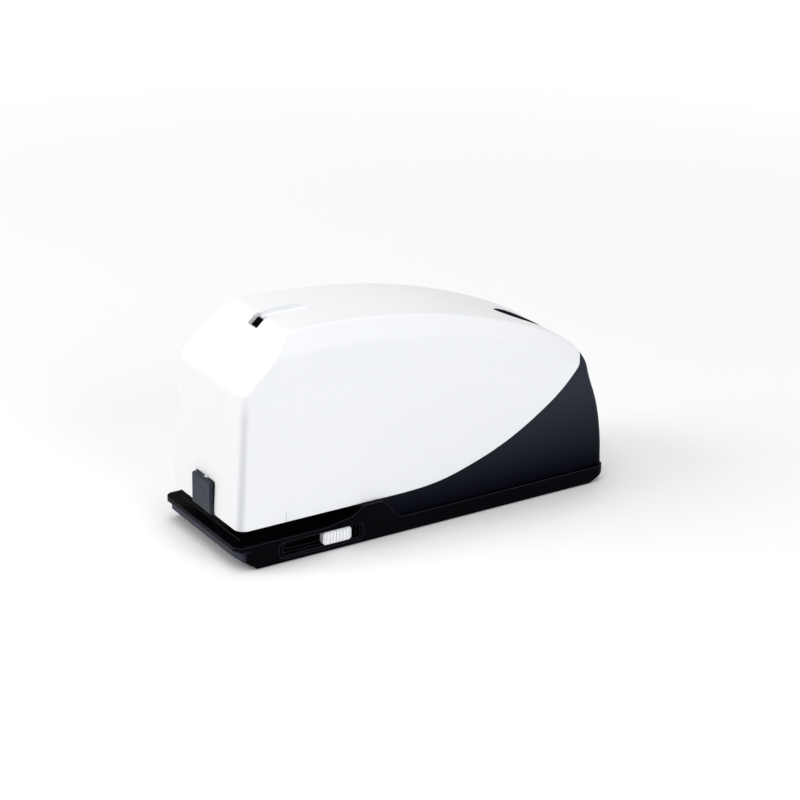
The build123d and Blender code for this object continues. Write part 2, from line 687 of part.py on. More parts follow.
with BuildPart() as magazine_channel:
    with BuildSketch(cross_plane(CHANNEL_FRONT)):
        with Locations((0, CHANNEL_Z)):
            Rectangle(16.0, CHANNEL_H)
        with Locations((0, 24.3)):
            Rectangle(14.4, 9.0, mode=Mode.SUBTRACT)
    extrude(amount=-(CHANNEL_REAR - CHANNEL_FRONT))
    # cheeks that join the front plate to the channel
    with BuildSketch(cross_plane(CHEEK_S)):
        with Locations((-CHEEK_X, CHANNEL_Z), (CHEEK_X, CHANNEL_Z)):
            Rectangle(CHEEK_T, CHANNEL_H)
    extrude(amount=-(CHANNEL_FRONT - CHEEK_S))
    # folded front plate the first staple stands against
    with BuildSketch(cross_plane(6.5)):
        with Locations((0, 24.4)):
            RectangleRounded(16.0, 10.8, 0.8)
    extrude(amount=-0.9)
    # two slotted windows through both side walls
    with BuildSketch(side_plane(-10)):
        with Locations(*points([(60, 24.0), (68, 24.0)])):
            SlotOverall(5, 2.0)
    extrude(amount=20, mode=Mode.SUBTRACT)
save(magazine_channel.part, "magazine_channel")

with BuildPart() as magazine_front:
    # upright finger plate
    with BuildSketch(cross_plane(0.9)):
        with BuildLine():
            Polyline(*FINGER_PLATE, close=True)
        make_face()
    extrude(amount=-1.75)
    chamfer(magazine_front.faces().sort_by(Axis.Y)[0].edges(), 0.35)
    # hollow collar behind it
    with BuildSketch(cross_plane(2.5)):
        with Locations((0, MAG_FRONT_Z)):
            Rectangle(15.0, 9.6)
    extrude(amount=-3.95)
    with BuildSketch(cross_plane(3.4)):
        with Locations((0, MAG_FRONT_Z)):
            Rectangle(12.0, 7.0)
    extrude(amount=-4.0, mode=Mode.SUBTRACT)
save(magazine_front.part, "magazine_front")

with BuildPart() as staple_strip:
    with BuildSketch(cross_plane(STRIP_S)):
        with Locations((0, 23.25)):
            Rectangle(13.0, 6.1)
        with Locations((0, 22.7)):
            Rectangle(11.7, 6.2, mode=Mode.SUBTRACT)
    extrude(amount=-STRIP_LENGTH)
    # the joint lines between glued staples
    with BuildSketch(level(26.3)):
        with GridLocations(1.0, 1.04, 1, 24):
            with Locations((0, y(STRIP_S + STRIP_LENGTH / 2))):
                Rectangle(13.2, 0.12)
    extrude(amount=-0.12, mode=Mode.SUBTRACT)
save(staple_strip.part, "staple_strip")

with BuildPart() as staple_pusher:
    # saddle over the rail with a core that runs on the rod
    with BuildSketch(cross_plane(PUSHER_S)):
        with Locations((0, 23.5)):
            Rectangle(13.0, 6.6)
        with Locations((0, 22.7)):
            Rectangle(11.8, 6.2, mode=Mode.SUBTRACT)
        with Locations((0, 24.4)):
            Rectangle(4.4, 4.4)
    extrude(amount=-9.0)
    with BuildSketch(cross_plane(PUSHER_S - 1)):
        with Locations((0, ROD_Z)):
            Circle(ROD_R + 0.08)
    extrude(amount=-12, mode=Mode.SUBTRACT)
save(staple_pusher.part, "staple_pusher")

with BuildPart() as spring_rod:
    with BuildSketch(cross_plane(10.0)):
        with Locations((0, ROD_Z)):
            Circle(ROD_R)
    extrude(amount=-71.5)
save(spring_rod.part, "spring_rod")

coil_spring("pusher_spring", pitch=1.65, height=33.0, radius=1.55,
            centre=(0, y(44.5), ROD_Z), direction=(0, 1, 0), wire_r=0.22)

# bracket the magazine slides in
with BuildPart() as magazine_guide:
    with BuildSketch(cross_plane(GUIDE_FRONT)):
        with Locations((0, 23.6)):
            Rectangle(19.2, 10.8)
        with Locations((0, 23.3)):
            Rectangle(16.4, 9.0, mode=Mode.SUBTRACT)
        with Locations((0, 19.5)):
            Rectangle(13.0, 4.0, mode=Mode.SUBTRACT)
    extrude(amount=-(GUIDE_REAR - GUIDE_FRONT))
    # two slots in its roof
    with BuildSketch(level(26)):
        with Locations((0, y(40)), (0, y(58))):
            SlotOverall(13, 8, rotation=90)
    extrude(amount=5, mode=Mode.SUBTRACT)
save(magazine_guide.part, "magazine_guide")

# ----------------------------------------------------- driver blade and guide
BLADE_BOTTOM, BLADE_TOP, BLADE_T = 27.0, 64.0, 0.7
ARM_TIP_Z = PIVOT_Z + (PIVOT_S - DRIVE_S) * math.tan(ARM_REST)
GUIDE_Z, GUIDE_H = 47.0, 32.0

with BuildPart() as driver_blade:
    with BuildSketch(cross_plane(DRIVE_S - BLADE_T / 2)):
        with Locations((0, (BLADE_BOTTOM + BLADE_TOP) / 2)):
            Rectangle(12.4, BLADE_TOP - BLADE_BOTTOM)
        # window for the arm's tongue
        with Locations((0, ARM_TIP_Z)):
            RectangleRounded(6.0, 5.2, 0.8, mode=Mode.SUBTRACT)
        with Locations((0, 42.0)):
            SlotOverall(9, 3.0, rotation=90, mode=Mode.SUBTRACT)
    extrude(amount=-BLADE_T)
save(driver_blade.part, "driver_blade")

with BuildPart() as driver_guide:
    # back plate with an opening for the arm
    with BuildSketch(cross_plane(8.9)):
        with Locations((0, GUIDE_Z)):
            Rectangle(22.0, GUIDE_H)
        with Locations((0, 52.0)):
            Rectangle(7.4, 24.0, mode=Mode.SUBTRACT)
    extrude(amount=-1.2)
    # strips either side of the blade
    with BuildSketch(cross_plane(7.4)):
        with Locations((-8.0, GUIDE_Z), (8.0, GUIDE_Z)):
            Rectangle(3.0, GUIDE_H)
    extrude(amount=-1.5)
save(driver_guide.part, "driver_guide")

# ----------------------------------------------------------------- drive arm
# local x runs from the pivot along the arm to its tip, local y is up
ARM_PLANE = Plane(origin=(0, y(PIVOT_S), PIVOT_Z),
                  x_dir=(0, -math.cos(ARM_REST), math.sin(ARM_REST)), z_dir=(-1, 0, 0))
ARM_HALF = 6.4
ROLLER_HALF = 4.4
ROLLER_PIN_R = 1.5
# the roller hangs under the cam's axis with a little play
roller_local = ARM_PLANE.to_local_coords(
    Vector(0, y(CAM_AXIS[0]), CAM_AXIS[1] - CAM_R - ROLLER_R - 0.25))
ROLLER_CENTRE = (roller_local.X, roller_local.Y)
ARM_CREST = roller_local.Y + 3.2
# outlines in the arm's local x, y
ARM_OUTLINE = [
    (-5, -6.0), (-5, 5.0), (10, 5.6), (38, ARM_CREST), (52, ARM_CREST), (62, 3.0),
    (80, 3.0), (80, -4.0), (66, -6.0),
]
ARM_HOLLOW = [(-8, -4.4), (-8, 15), (90, 15), (90, -1.6), (79, -1.6), (64, -4.4)]
TONGUE = [
    (78.5, -3.9), (78.5, -1.6), (84, -1.2), (86.6, 1.0), (88.6, 1.2), (89.5, 0.6),
    (89.5, -0.8), (88.6, -1.4), (86.6, -1.4), (83.5, -3.6),
]

with BuildPart() as drive_arm:
    # outer form, trough between the side walls, tongue through the blade's window
    for outline, half_width, mode in ((ARM_OUTLINE, ARM_HALF, Mode.ADD),
                                      (ARM_HOLLOW, 5.0, Mode.SUBTRACT),
                                      (TONGUE, 2.4, Mode.ADD)):
        with BuildSketch(ARM_PLANE.offset(-half_width)):
            with BuildLine():
                Polyline(*outline, close=True)
            make_face()
        extrude(amount=2 * half_width, mode=mode)
    # pivot and roller pin holes
    with BuildSketch(ARM_PLANE.offset(-8)):
        Circle(SPINDLE_R + 0.06)
        with Locations(ROLLER_CENTRE):
            Circle(ROLLER_PIN_R)
    extrude(amount=16, mode=Mode.SUBTRACT)
save(drive_arm.part, "drive_arm")

with BuildPart() as roller_pin:
    with BuildSketch(ARM_PLANE.offset(-ARM_HALF)):
        with Locations(ROLLER_CENTRE):
            Circle(ROLLER_PIN_R)
    extrude(amount=2 * ARM_HALF)
save(roller_pin.part, "roller_pin")

with BuildPart() as cam_roller:
    with BuildSketch(ARM_PLANE.offset(-ROLLER_HALF)):
        with Locations(ROLLER_CENTRE):
            Circle(ROLLER_R)
            Circle(ROLLER_PIN_R + 0.05, mode=Mode.SUBTRACT)
    extrude(amount=2 * ROLLER_HALF)
save(cam_roller.part, "cam_roller")

# -------------------------------------------------------------- frame plates
# side outlines, rows of (station, z)
FRAME_OUTLINE = [
    (10.1, 24.0), (10.1, 66.0), (22, 78.0), (36, 88.0), (64, 88.0), (86, 76.0),
    (111.5, 72.0), (111.5, 2.8), (82.0, 2.8), (80.5, 18.9), (76.0, 24.0),
]
MOTOR_MOUNT = [(100, 44.0), (100, 74.0), (128, 73.4), (142, 66), (142, 48), (132, 44)]
MOTOR_BOSS_R = 3.0
MOTOR_SCREW_R = 1.1
CAM_BUSH_R = 4.5


def frame_plate(name, plate_x, carries_motor):
    """One side plate; plate_x is its left face."""
    with BuildPart() as plate:
        with BuildSketch(side_plane(plate_x)):
            with BuildLine():
                Polyline(*points(FRAME_OUTLINE), close=True)
            make_face()
            if carries_motor:
                with BuildLine():
                    Polyline(*points(MOTOR_MOUNT), close=True)
                make_face()
                with Locations(point(*MOTOR_AXIS)):
                    Circle(MOTOR_BOSS_R + 0.05, mode=Mode.SUBTRACT)
                with Locations(*points(MOTOR_SCREWS)):
                    Circle(MOTOR_SCREW_R, mode=Mode.SUBTRACT)
                with Locations(*points([GEAR1_AXIS, GEAR2_AXIS])):
                    Circle(SPINDLE_R, mode=Mode.SUBTRACT)
            with Locations(point(*CAM_AXIS)):
                Circle(CAM_BUSH_R, mode=Mode.SUBTRACT)
            with Locations(point(PIVOT_S, PIVOT_Z)):
                Circle(SPINDLE_R, mode=Mode.SUBTRACT)
            with Locations(*points(FRAME_SCREWS)):
                Circle(1.6, mode=Mode.SUBTRACT)
            # weight saving windows
            with Locations(point(46, 38)):
                SlotOverall(18, 7, mode=Mode.SUBTRACT)
            with Locations(point(94, 28)):
                SlotOverall(22, 8, rotation=90, mode=Mode.SUBTRACT)
        extrude(amount=PLATE_GAUGE)
    save(plate.part, name)


frame_plate("frame_plate_left", -PLATE_OUT, carries_motor=False)
frame_plate("frame_plate_right", PLATE_IN, carries_motor=True)

# ------------------------------------------------------------- frame screws
FRAME_SCREW_R = 1.3
# head radius, head height, shank radius, shank length, slot length, width, depth
FRAME_SCREW = (2.7, 1.6, FRAME_SCREW_R, 8, 3.4, 0.6, 0.8)
MOTOR_SCREW = (2.0, 1.3, MOTOR_SCREW_R, 3.0, 2.4, 0.5, 0.6)

with BuildPart() as frame_screws:
    for sign, places, screw in ((1, FRAME_SCREWS, FRAME_SCREW), (-1, FRAME_SCREWS, FRAME_SCREW),
                                (1, MOTOR_SCREWS, MOTOR_SCREW)):
        head_r, head_h, shank_r, shank_l, slot_l, slot_w, slot_depth = screw
        for radius, length in ((head_r, head_h), (shank_r, -shank_l)):
            with BuildSketch(side_plane(sign * PLATE_OUT)):
                with Locations(*points(places)):
                    Circle(radius)
            extrude(amount=sign * length)
        with BuildSketch(side_plane(sign * (PLATE_OUT + head_h))):
            with Locations(*points(places)):
                Rectangle(slot_l, slot_w)
                Rectangle(slot_w, slot_l)
        extrude(amount=-sign * slot_depth, mode=Mode.SUBTRACT)
save(frame_screws.part, "frame_screws")


# ---------------------------------------------------------------- gear train
def gear_points(module, teeth, centre, phase, addendum=0.75, dedendum=1.0, play=0.12):
    """Involute outline, 20 degree pressure angle; one tooth is centred on phase (degrees)."""
    def involute(angle):
        return math.tan(angle) - angle

    pressure = math.radians(20)
    pitch_r = module * teeth / 2
    base_r = pitch_r * math.cos(pressure)
    tip_r, root_r = pitch_r + addendum * module, pitch_r - dedendum * module
    half = math.pi / (2 * teeth) - play / (2 * pitch_r) + involute(pressure)
    start_r = max(base_r, root_r)
    steps = 4
    # (radius, half angle of the tooth) from root to tip
    flank = []
    for i in range(steps + 1):
        radius = start_r + (tip_r - start_r) * i / steps
        flank.append((radius, half - involute(math.acos(min(1.0, base_r / radius)))))
    if root_r < base_r:
        flank.insert(0, (root_r, half))
    tooth = [(radius, -angle) for radius, angle in flank] + flank[::-1]
    outline = []
    for k in range(teeth):
        middle = math.radians(phase) + 2 * math.pi * k / teeth
        for radius, angle in tooth:
            outline.append((y(centre[0]) + radius * math.cos(middle + angle),
                            centre[1] + radius * math.sin(middle + angle)))
    return outline


def mate(centre_a, teeth_a, phase_a, centre_b, teeth_b):
    """Phase of gear b so that it meshes with gear a at rest."""
    line = math.degrees(math.atan2(centre_b[1] - centre_a[1], centre_b[0] - centre_a[0]))
    fraction = ((line - phase_a) * teeth_a / 360) % 1.0
    return line + 180 - (0.5 - fraction) * 360 / teeth_b


WHEEL_PHASE = 0.0        # of the three large wheels
GEAR2_PHASE = mate(CAM_AXIS, CAM_TEETH, WHEEL_PHASE, GEAR2_AXIS, SMALL_TEETH)
GEAR1_PHASE = mate(GEAR2_AXIS, BIG2_TEETH, WHEEL_PHASE, GEAR1_AXIS, SMALL_TEETH)
PINION_PHASE = mate(GEAR1_AXIS, BIG1_TEETH, WHEEL_PHASE, MOTOR_AXIS, PINION_TEETH)

with BuildPart() as cam_gear:
    with BuildSketch(side_plane(SLOW_IN)):
        with BuildLine():
            Polyline(*gear_points(SLOW_MODULE, CAM_TEETH, CAM_AXIS, WHEEL_PHASE), close=True)
        make_face()
        with Locations(point(*CAM_AXIS)):
            Circle(CAM_SHAFT_R, mode=Mode.SUBTRACT)
            with PolarLocations(12.5, 5):
                Circle(4.2, mode=Mode.SUBTRACT)
    extrude(amount=SLOW_OUT - SLOW_IN)
    with BuildSketch(side_plane(SLOW_OUT)):
        with Locations(point(*CAM_AXIS)):
            Circle(5.5)
            Circle(CAM_SHAFT_R, mode=Mode.SUBTRACT)
    extrude(amount=1.8)
save(cam_gear.part, "cam_gear")


def reduction_gear(name, axis, small, big, hub_r, hub_length, recessed):
    """Small and big gear in one; each is given as (module, teeth, phase, x_in, x_out)."""
    with BuildPart() as gear:
        for module, teeth, phase, x_in, x_out in (small, big):
            with BuildSketch(side_plane(x_in)):
                with BuildLine():
                    Polyline(*gear_points(module, teeth, axis, phase), close=True)
                make_face()
            extrude(amount=x_out - x_in)
        with BuildSketch(side_plane(11.3)):
            with Locations(point(*axis)):
                Circle(hub_r)
        extrude(amount=hub_length)
        if recessed:
            # ring groove in the outer face
            with BuildSketch(side_plane(big[-1])):
                with Locations(point(*axis)):
                    Circle(10.5)
                    Circle(8.0, mode=Mode.SUBTRACT)
            extrude(amount=-0.8, mode=Mode.SUBTRACT)
        with BuildSketch(side_plane(11)):
            with Locations(point(*axis)):
                Circle(SPINDLE_R + 0.05)
        extrude(amount=13, mode=Mode.SUBTRACT)
    save(gear.part, name)


reduction_gear("reduction_gear_2", GEAR2_AXIS,
               small=(SLOW_MODULE, SMALL_TEETH, GEAR2_PHASE, SLOW_IN, MID_IN),
               big=(FAST_MODULE, BIG2_TEETH, WHEEL_PHASE, MID_IN, MID_OUT),
               hub_r=3.4, hub_length=2.0, recessed=True)
reduction_gear("reduction_gear_1", GEAR1_AXIS,
               small=(FAST_MODULE, SMALL_TEETH, GEAR1_PHASE, MID_IN, FAST_IN),
               big=(FAST_MODULE, BIG1_TEETH, WHEEL_PHASE, FAST_IN, FAST_OUT),
               hub_r=3.3, hub_length=6.2, recessed=False)

with BuildPart() as motor_pinion:
    with BuildSketch(side_plane(FAST_IN - 1.2)):
        with BuildLine():
            Polyline(*gear_points(FAST_MODULE, PINION_TEETH, MOTOR_AXIS, PINION_PHASE),
                     close=True)
        make_face()
    extrude(amount=FAST_OUT - FAST_IN + 1.2)
    with BuildSketch(side_plane(FAST_IN - 2)):
        with Locations(point(*MOTOR_AXIS)):
            Circle(MOTOR_SHAFT_R)
    extrude(amount=8, mode=Mode.SUBTRACT)
save(motor_pinion.part, "motor_pinion")

with BuildPart() as fixed_shafts:
    # arm pivot
    with BuildSketch(side_plane(-PLATE_OUT - 0.8)):
        with Locations(point(PIVOT_S, PIVOT_Z)):
            Circle(SPINDLE_R)
    extrude(amount=2 * (PLATE_OUT + 0.8))
    # spindles of the two reduction gears
    with BuildSketch(side_plane(PLATE_IN)):
        with Locations(*points([GEAR1_AXIS, GEAR2_AXIS])):
            Circle(SPINDLE_R)
    extrude(amount=COVERPL_OUT + 0.6 - PLATE_IN)
save(fixed_shafts.part, "fixed_shafts")

# -------------------------------------------------- gear cover plate, spacers
COVERPL_OUTLINE = [
    (27, 46), (27, 54), (44, 78), (60, 78), (82, 70), (104, 66), (112, 60), (110, 29),
    (100, 29), (64, 39),
]
RIVET_R = 1.3
# solid round posts: x of the start, places, radius, length
ROUND_POSTS = [
    # cover plate posts, riveted over
    (PLATE_OUT, COVER_POSTS, 2.6, COVERPL_IN - PLATE_OUT),
    (COVERPL_IN, COVER_POSTS, RIVET_R, COVERPL_OUT - COVERPL_IN),
    (COVERPL_OUT, COVER_POSTS, 2.3, 1.0),
    # control board posts and their tips
    (BOARD_X, BOARD_POSTS, 2.2, -BOARD_X - PLATE_OUT),
    (-27.6, BOARD_POSTS, 1.2, 3.0),
]

with BuildPart() as gear_cover_plate:
    with BuildSketch(side_plane(COVERPL_IN)):
        with BuildLine():
            Polyline(*points(COVERPL_OUTLINE), close=True)
        make_face()
        with Locations(point(*CAM_AXIS)):
            Circle(CAM_SHAFT_R + 0.06, mode=Mode.SUBTRACT)
        with Locations(*points([GEAR1_AXIS, GEAR2_AXIS])):
            Circle(SPINDLE_R, mode=Mode.SUBTRACT)
        with Locations(*points(COVER_POSTS)):
            Circle(RIVET_R, mode=Mode.SUBTRACT)
    extrude(amount=COVERPL_OUT - COVERPL_IN)
save(gear_cover_plate.part, "gear_cover_plate")

with BuildPart() as frame_spacers:
    # tubes between the frame plates
    with BuildSketch(side_plane(-PLATE_IN)):
        with Locations(*points(FRAME_SCREWS)):
            Circle(3.0)
            Circle(FRAME_SCREW_R, mode=Mode.SUBTRACT)
    extrude(amount=2 * PLATE_IN)
    for x, places, radius, length in ROUND_POSTS:
        with BuildSketch(side_plane(x)):
            with Locations(*points(places)):
                Circle(radius)
        extrude(amount=length)
save(frame_spacers.part, "frame_spacers")

# ------------------------------------------------------------- cam and shaft
with BuildPart() as cam_shaft:
    with BuildSketch(side_plane(-14.8)):
        with Locations(point(*CAM_AXIS)):
            Circle(CAM_SHAFT_R)
    extrude(amount=14.8 + COVERPL_OUT + 1.0)
    # notched flange that the home switch feels
    with BuildSketch(side_plane(-14.4)):
        with Locations(point(*CAM_AXIS)):
            Circle(6.0)
        with Locations(point(CAM_AXIS[0], CAM_AXIS[1] + 6)):
            Circle(1.6, mode=Mode.SUBTRACT)
    extrude(amount=2.0)
save(cam_shaft.part, "cam_shaft")

with BuildPart() as cam_bushes:
    # sleeve in the plate, then flange outside it: x, radius, length
    for sign in (1, -1):
        for x, radius, length in ((PLATE_IN, CAM_BUSH_R, PLATE_GAUGE), (PLATE_OUT, 5.6, 0.9)):
            with BuildSketch(side_plane(sign * x)):
                with Locations(point(*CAM_AXIS)):
                    Circle(radius)
                    Circle(CAM_SHAFT_R + 0.05, mode=Mode.SUBTRACT)
            extrude(amount=sign * length)
save(cam_bushes.part, "cam_bushes")

CAM_HALF = 3.5
CAM_STEPS = 120
CAM_DWELL_END, CAM_FALL = 305, 30     # end of the full radius, angle of the fall (deg)


def cam_radius(degrees):
    """Snail cam: the radius grows evenly with the angle, so the arm follows in step."""
    if degrees <= 0:
        return CAM_R
    if degrees <= CAM_SWEEP:
        return CAM_R + CAM_RISE * degrees / CAM_SWEEP
    if degrees <= CAM_DWELL_END:
        return CAM_R + CAM_RISE
    return CAM_R + CAM_RISE * (1 - (degrees - CAM_DWELL_END) / CAM_FALL)


# angles run from straight down towards the front
cam_outline = []
for k in range(CAM_STEPS):
    degrees = -25 + 360 * k / CAM_STEPS
    radius, angle = cam_radius(degrees), math.radians(degrees)
    cam_outline.append((y(CAM_AXIS[0]) - radius * math.sin(angle),
                        CAM_AXIS[1] - radius * math.cos(angle)))

with BuildPart() as drive_cam:
    with BuildSketch(side_plane(-CAM_HALF)):
        with BuildLine():
            Polyline(*cam_outline, close=True)
        make_face()
        with Locations(point(*CAM_AXIS)):
            Circle(CAM_SHAFT_R, mode=Mode.SUBTRACT)
    extrude(amount=2 * CAM_HALF)
    # hubs
    for sign in (1, -1):
        with BuildSketch(side_plane(sign * CAM_HALF)):
            with Locations(point(*CAM_AXIS)):
                Circle(6.0)
                Circle(CAM_SHAFT_R, mode=Mode.SUBTRACT)
        extrude(amount=sign * 3.0)
save(drive_cam.part, "drive_cam")

with BuildPart() as home_switch:
    with BuildSketch(side_plane(-PLATE_OUT)):
        with Locations(point(CAM_AXIS[0] + 2, 82)):
            Rectangle(13, 7)
            with Locations((-4, 0), (4, 0)):
                Circle(1.1, mode=Mode.SUBTRACT)
    extrude(amount=-5.5)
    # feeler
    with BuildSketch(side_plane(-14.5)):
        with Locations(point(CAM_AXIS[0], 78.0)):
            Rectangle(1.6, 2.4)
    extrude(amount=2.0)
save(home_switch.part, "home_switch")

# angle brackets outside the foot of each frame plate
with BuildPart() as frame_brackets:
    for sign in (1, -1):
        with BuildSketch(cross_plane(84)):
            with Locations((sign * (PLATE_OUT + 0.6), 7.8)):
                Rectangle(1.2, 10.0)
            with Locations((sign * (PLATE_OUT + 3.5), 3.4)):
                Rectangle(7.0, 1.2)
        extrude(amount=-14)
save(frame_brackets.part, "frame_brackets")

# --------------------------------------------------------------------- motor
CAN_X = -21.0            # left end of the can
CAN_LENGTH = PLATE_IN - CAN_X
CAN_BORE_R = MOTOR_R - 1.0
CAP_X = CAN_X - 2.4
SHAFT_HOLE_R = MOTOR_SHAFT_R + 0.04
ARMATURE_X = -13.0

with BuildPart() as motor_can:
    with BuildSketch(side_plane(CAN_X)):
        with Locations(point(*MOTOR_AXIS)):
            Circle(MOTOR_R)
    extrude(amount=CAN_LENGTH)
    with BuildSketch(side_plane(CAN_X)):
        with Locations(point(*MOTOR_AXIS)):
            Circle(CAN_BORE_R)
    extrude(amount=CAN_LENGTH - 1.2, mode=Mode.SUBTRACT)
    # centring boss, shaft hole and screw holes
    with BuildSketch(side_plane(PLATE_IN)):
        with Locations(point(*MOTOR_AXIS)):
            Circle(MOTOR_BOSS_R)
    extrude(amount=1.3)
    with BuildSketch(side_plane(PLATE_IN - 2)):
        with Locations(point(*MOTOR_AXIS)):
            Circle(SHAFT_HOLE_R)
        with Locations(*points(MOTOR_SCREWS)):
            Circle(MOTOR_SCREW_R)
    extrude(amount=4, mode=Mode.SUBTRACT)
save(motor_can.part, "motor_can")

with BuildPart() as motor_end_cap:
    with BuildSketch(side_plane(CAN_X)):
        with Locations(point(*MOTOR_AXIS)):
            Circle(MOTOR_R)
    extrude(amount=CAP_X - CAN_X)
    with BuildSketch(side_plane(CAP_X)):
        with Locations(point(*MOTOR_AXIS)):
            Circle(3.4)
    extrude(amount=-1.2)
    # two flat tabs
    with BuildSketch(side_plane(CAP_X)):
        with Locations(*[point(MOTOR_AXIS[0], MOTOR_AXIS[1] + dz) for dz in (8, -8)]):
            Rectangle(3.0, 0.8)
    extrude(amount=-3.0)
    with BuildSketch(side_plane(-20)):
        with Locations(point(*MOTOR_AXIS)):
            Circle(SHAFT_HOLE_R)
    extrude(amount=-8, mode=Mode.SUBTRACT)
save(motor_end_cap.part, "motor_end_cap")

with BuildPart() as motor_magnets:
    with BuildSketch(side_plane(-16.0)):
        with Locations(point(*MOTOR_AXIS)):
            Circle(CAN_BORE_R)
            Circle(CAN_BORE_R - 1.2, mode=Mode.SUBTRACT)
            Rectangle(7, 30, mode=Mode.SUBTRACT)
    extrude(amount=22.0)
save(motor_magnets.part, "motor_magnets")

with BuildPart() as motor_shaft:
    with BuildSketch(side_plane(-24.0)):
        with Locations(point(*MOTOR_AXIS)):
            Circle(MOTOR_SHAFT_R)
    extrude(amount=24.0 + FAST_OUT + 0.3)
save(motor_shaft.part, "motor_shaft")

with BuildPart() as motor_armature:
    with BuildSketch(side_plane(ARMATURE_X)):
        with Locations(point(*MOTOR_AXIS)):
            Circle(9.4)
            Circle(MOTOR_SHAFT_R, mode=Mode.SUBTRACT)
            with PolarLocations(6.0, 3, start_angle=30):
                Rectangle(8.5, 2.4, mode=Mode.SUBTRACT)
    extrude(amount=16.0)
    # commutator
    with BuildSketch(side_plane(ARMATURE_X)):
        with Locations(point(*MOTOR_AXIS)):
            Circle(3.0)
            Circle(MOTOR_SHAFT_R, mode=Mode.SUBTRACT)
    extrude(amount=-6.0)
save(motor_armature.part, "motor_armature")

coil_spring("arm_return_spring", pitch=1.2, height=13.2, radius=1.0,
            centre=(8.0, y(33.0), 62.0), direction=(0, 0, 1), wire_r=0.25)

# ------------------------------------------------------------------ batteries
TRAY_Z = FLOOR_Z + PLATE_T
TRAY_W, TRAY_D, TRAY_WALL = 59.6, 64.0, 1.2

with BuildPart() as battery_tray:
    with BuildSketch(level(TRAY_Z)):
        with Locations((0, y(BATTERY_S))):
            Rectangle(TRAY_W, TRAY_D)
    extrude(amount=18.0)
    with BuildSketch(level(TRAY_Z)):
        with Locations((0, y(BATTERY_S))):
            Rectangle(TRAY_W - 2 * TRAY_WALL, TRAY_D - 2 * TRAY_WALL)
    extrude(amount=16.6, mode=Mode.SUBTRACT)
save(battery_tray.part, "battery_tray")

with BuildPart() as aa_cells:
    # cells lie across the case, the button end alternates, right side first
    for k, station in enumerate(CELL_STATIONS):
        sign = 1 if k % 2 == 0 else -1
        with BuildSketch(side_plane(-CELL_END)):
            with Locations(point(station, CELL_Z)):
                Circle(7.1)
        extrude(amount=2 * CELL_END)
        with BuildSketch(side_plane(sign * CELL_END)):
            with Locations(point(station, CELL_Z)):
                Circle(2.7)
        extrude(amount=sign * 1.1)
    fillet(aa_cells.edges().filter_by(GeomType.CIRCLE).filter_by(lambda e: e.radius > 7), 0.6)
save(aa_cells.part, "aa_cells")

with BuildPart() as battery_contacts:
    for sign in (1, -1):
        with BuildSketch(side_plane(sign * 28.3)):
            with Locations(*[point(station, CELL_Z) for station in CELL_STATIONS]):
                Rectangle(10.0, 11.0)
        extrude(amount=-sign * 0.3)
    # a coil spring against each cell's flat end
    for k, station in enumerate(CELL_STATIONS):
        sign = -1 if k % 2 == 0 else 1
        with BuildLine() as contact_coil:
            Helix(pitch=0.75, height=2.2, radius=2.4,
                  center=(sign * 25.25, y(station), CELL_Z), direction=(sign, 0, 0))
        with BuildSketch(Plane(origin=contact_coil.line @ 0, z_dir=contact_coil.line % 0)):
            Circle(0.25)
        sweep(path=contact_coil.line, is_frenet=True)
save(battery_contacts.part, "battery_contacts")

# --------------------------------------------------------- boards and lamp
BOARD_OUTLINE = [(32, 34), (32, 66), (40, 74), (104, 74), (104, 34)]
PIPE_S, PIPE_Z = 170, 59.2

with BuildPart() as circuit_boards:
    # control board
    with BuildSketch(side_plane(BOARD_X - BOARD_T)):
        with BuildLine():
            Polyline(*points(BOARD_OUTLINE), close=True)
        make_face()
        with Locations(*points(BOARD_POSTS)):
            Circle(1.2, mode=Mode.SUBTRACT)
    extrude(amount=BOARD_T)
    # small lamp board under the lens
    with BuildSketch(level(LAMP_BOARD_TOP - BOARD_T)):
        with Locations((0, y(LAMP_S))):
            Rectangle(30, 9)
    extrude(amount=BOARD_T)
save(circuit_boards.part, "circuit_boards")

with BuildPart() as board_parts:
    # two flat chips
    with BuildSketch(side_plane(BOARD_X)):
        with Locations(point(60, 54)):
            Rectangle(14, 9)
        with Locations(point(82, 62)):
            Rectangle(7, 6)
    extrude(amount=2.2)
    # two round cans
    with BuildSketch(side_plane(BOARD_X)):
        with Locations(*points([(84, 44), (74, 44)])):
            Circle(4.0)
    extrude(amount=8.0)
    # rectangular block
    with BuildSketch(side_plane(BOARD_X)):
        with Locations(point(48, 40)):
            Rectangle(12, 6)
    extrude(amount=5.0)
save(board_parts.part, "board_parts")

with BuildPart() as status_led:
    # collar, then the domed body: z, radius, height
    for z, radius, height in ((LAMP_BOARD_TOP, 2.9, 1.0), (LAMP_BOARD_TOP + 1, 2.5, 6.0)):
        with BuildSketch(level(z)):
            with Locations((0, y(LAMP_S))):
                Circle(radius)
        extrude(amount=height)
    fillet(status_led.edges().group_by(Axis.Z)[-1], 2.3)
save(status_led.part, "status_led")

with BuildPart() as light_pipe:
    with BuildSketch(level(PIPE_Z)):
        with Locations((0, y(PIPE_S))):
            Circle(3.2)
    extrude(amount=12.8)
    chamfer(light_pipe.edges().group_by(Axis.Z)[-1], 0.5)
    # cross bar
    with BuildSketch(level(PIPE_Z + 1.2)):
        with Locations((0, y(PIPE_S))):
            Rectangle(21.0, 3.0)
    extrude(amount=1.6)
save(light_pipe.part, "light_pipe")

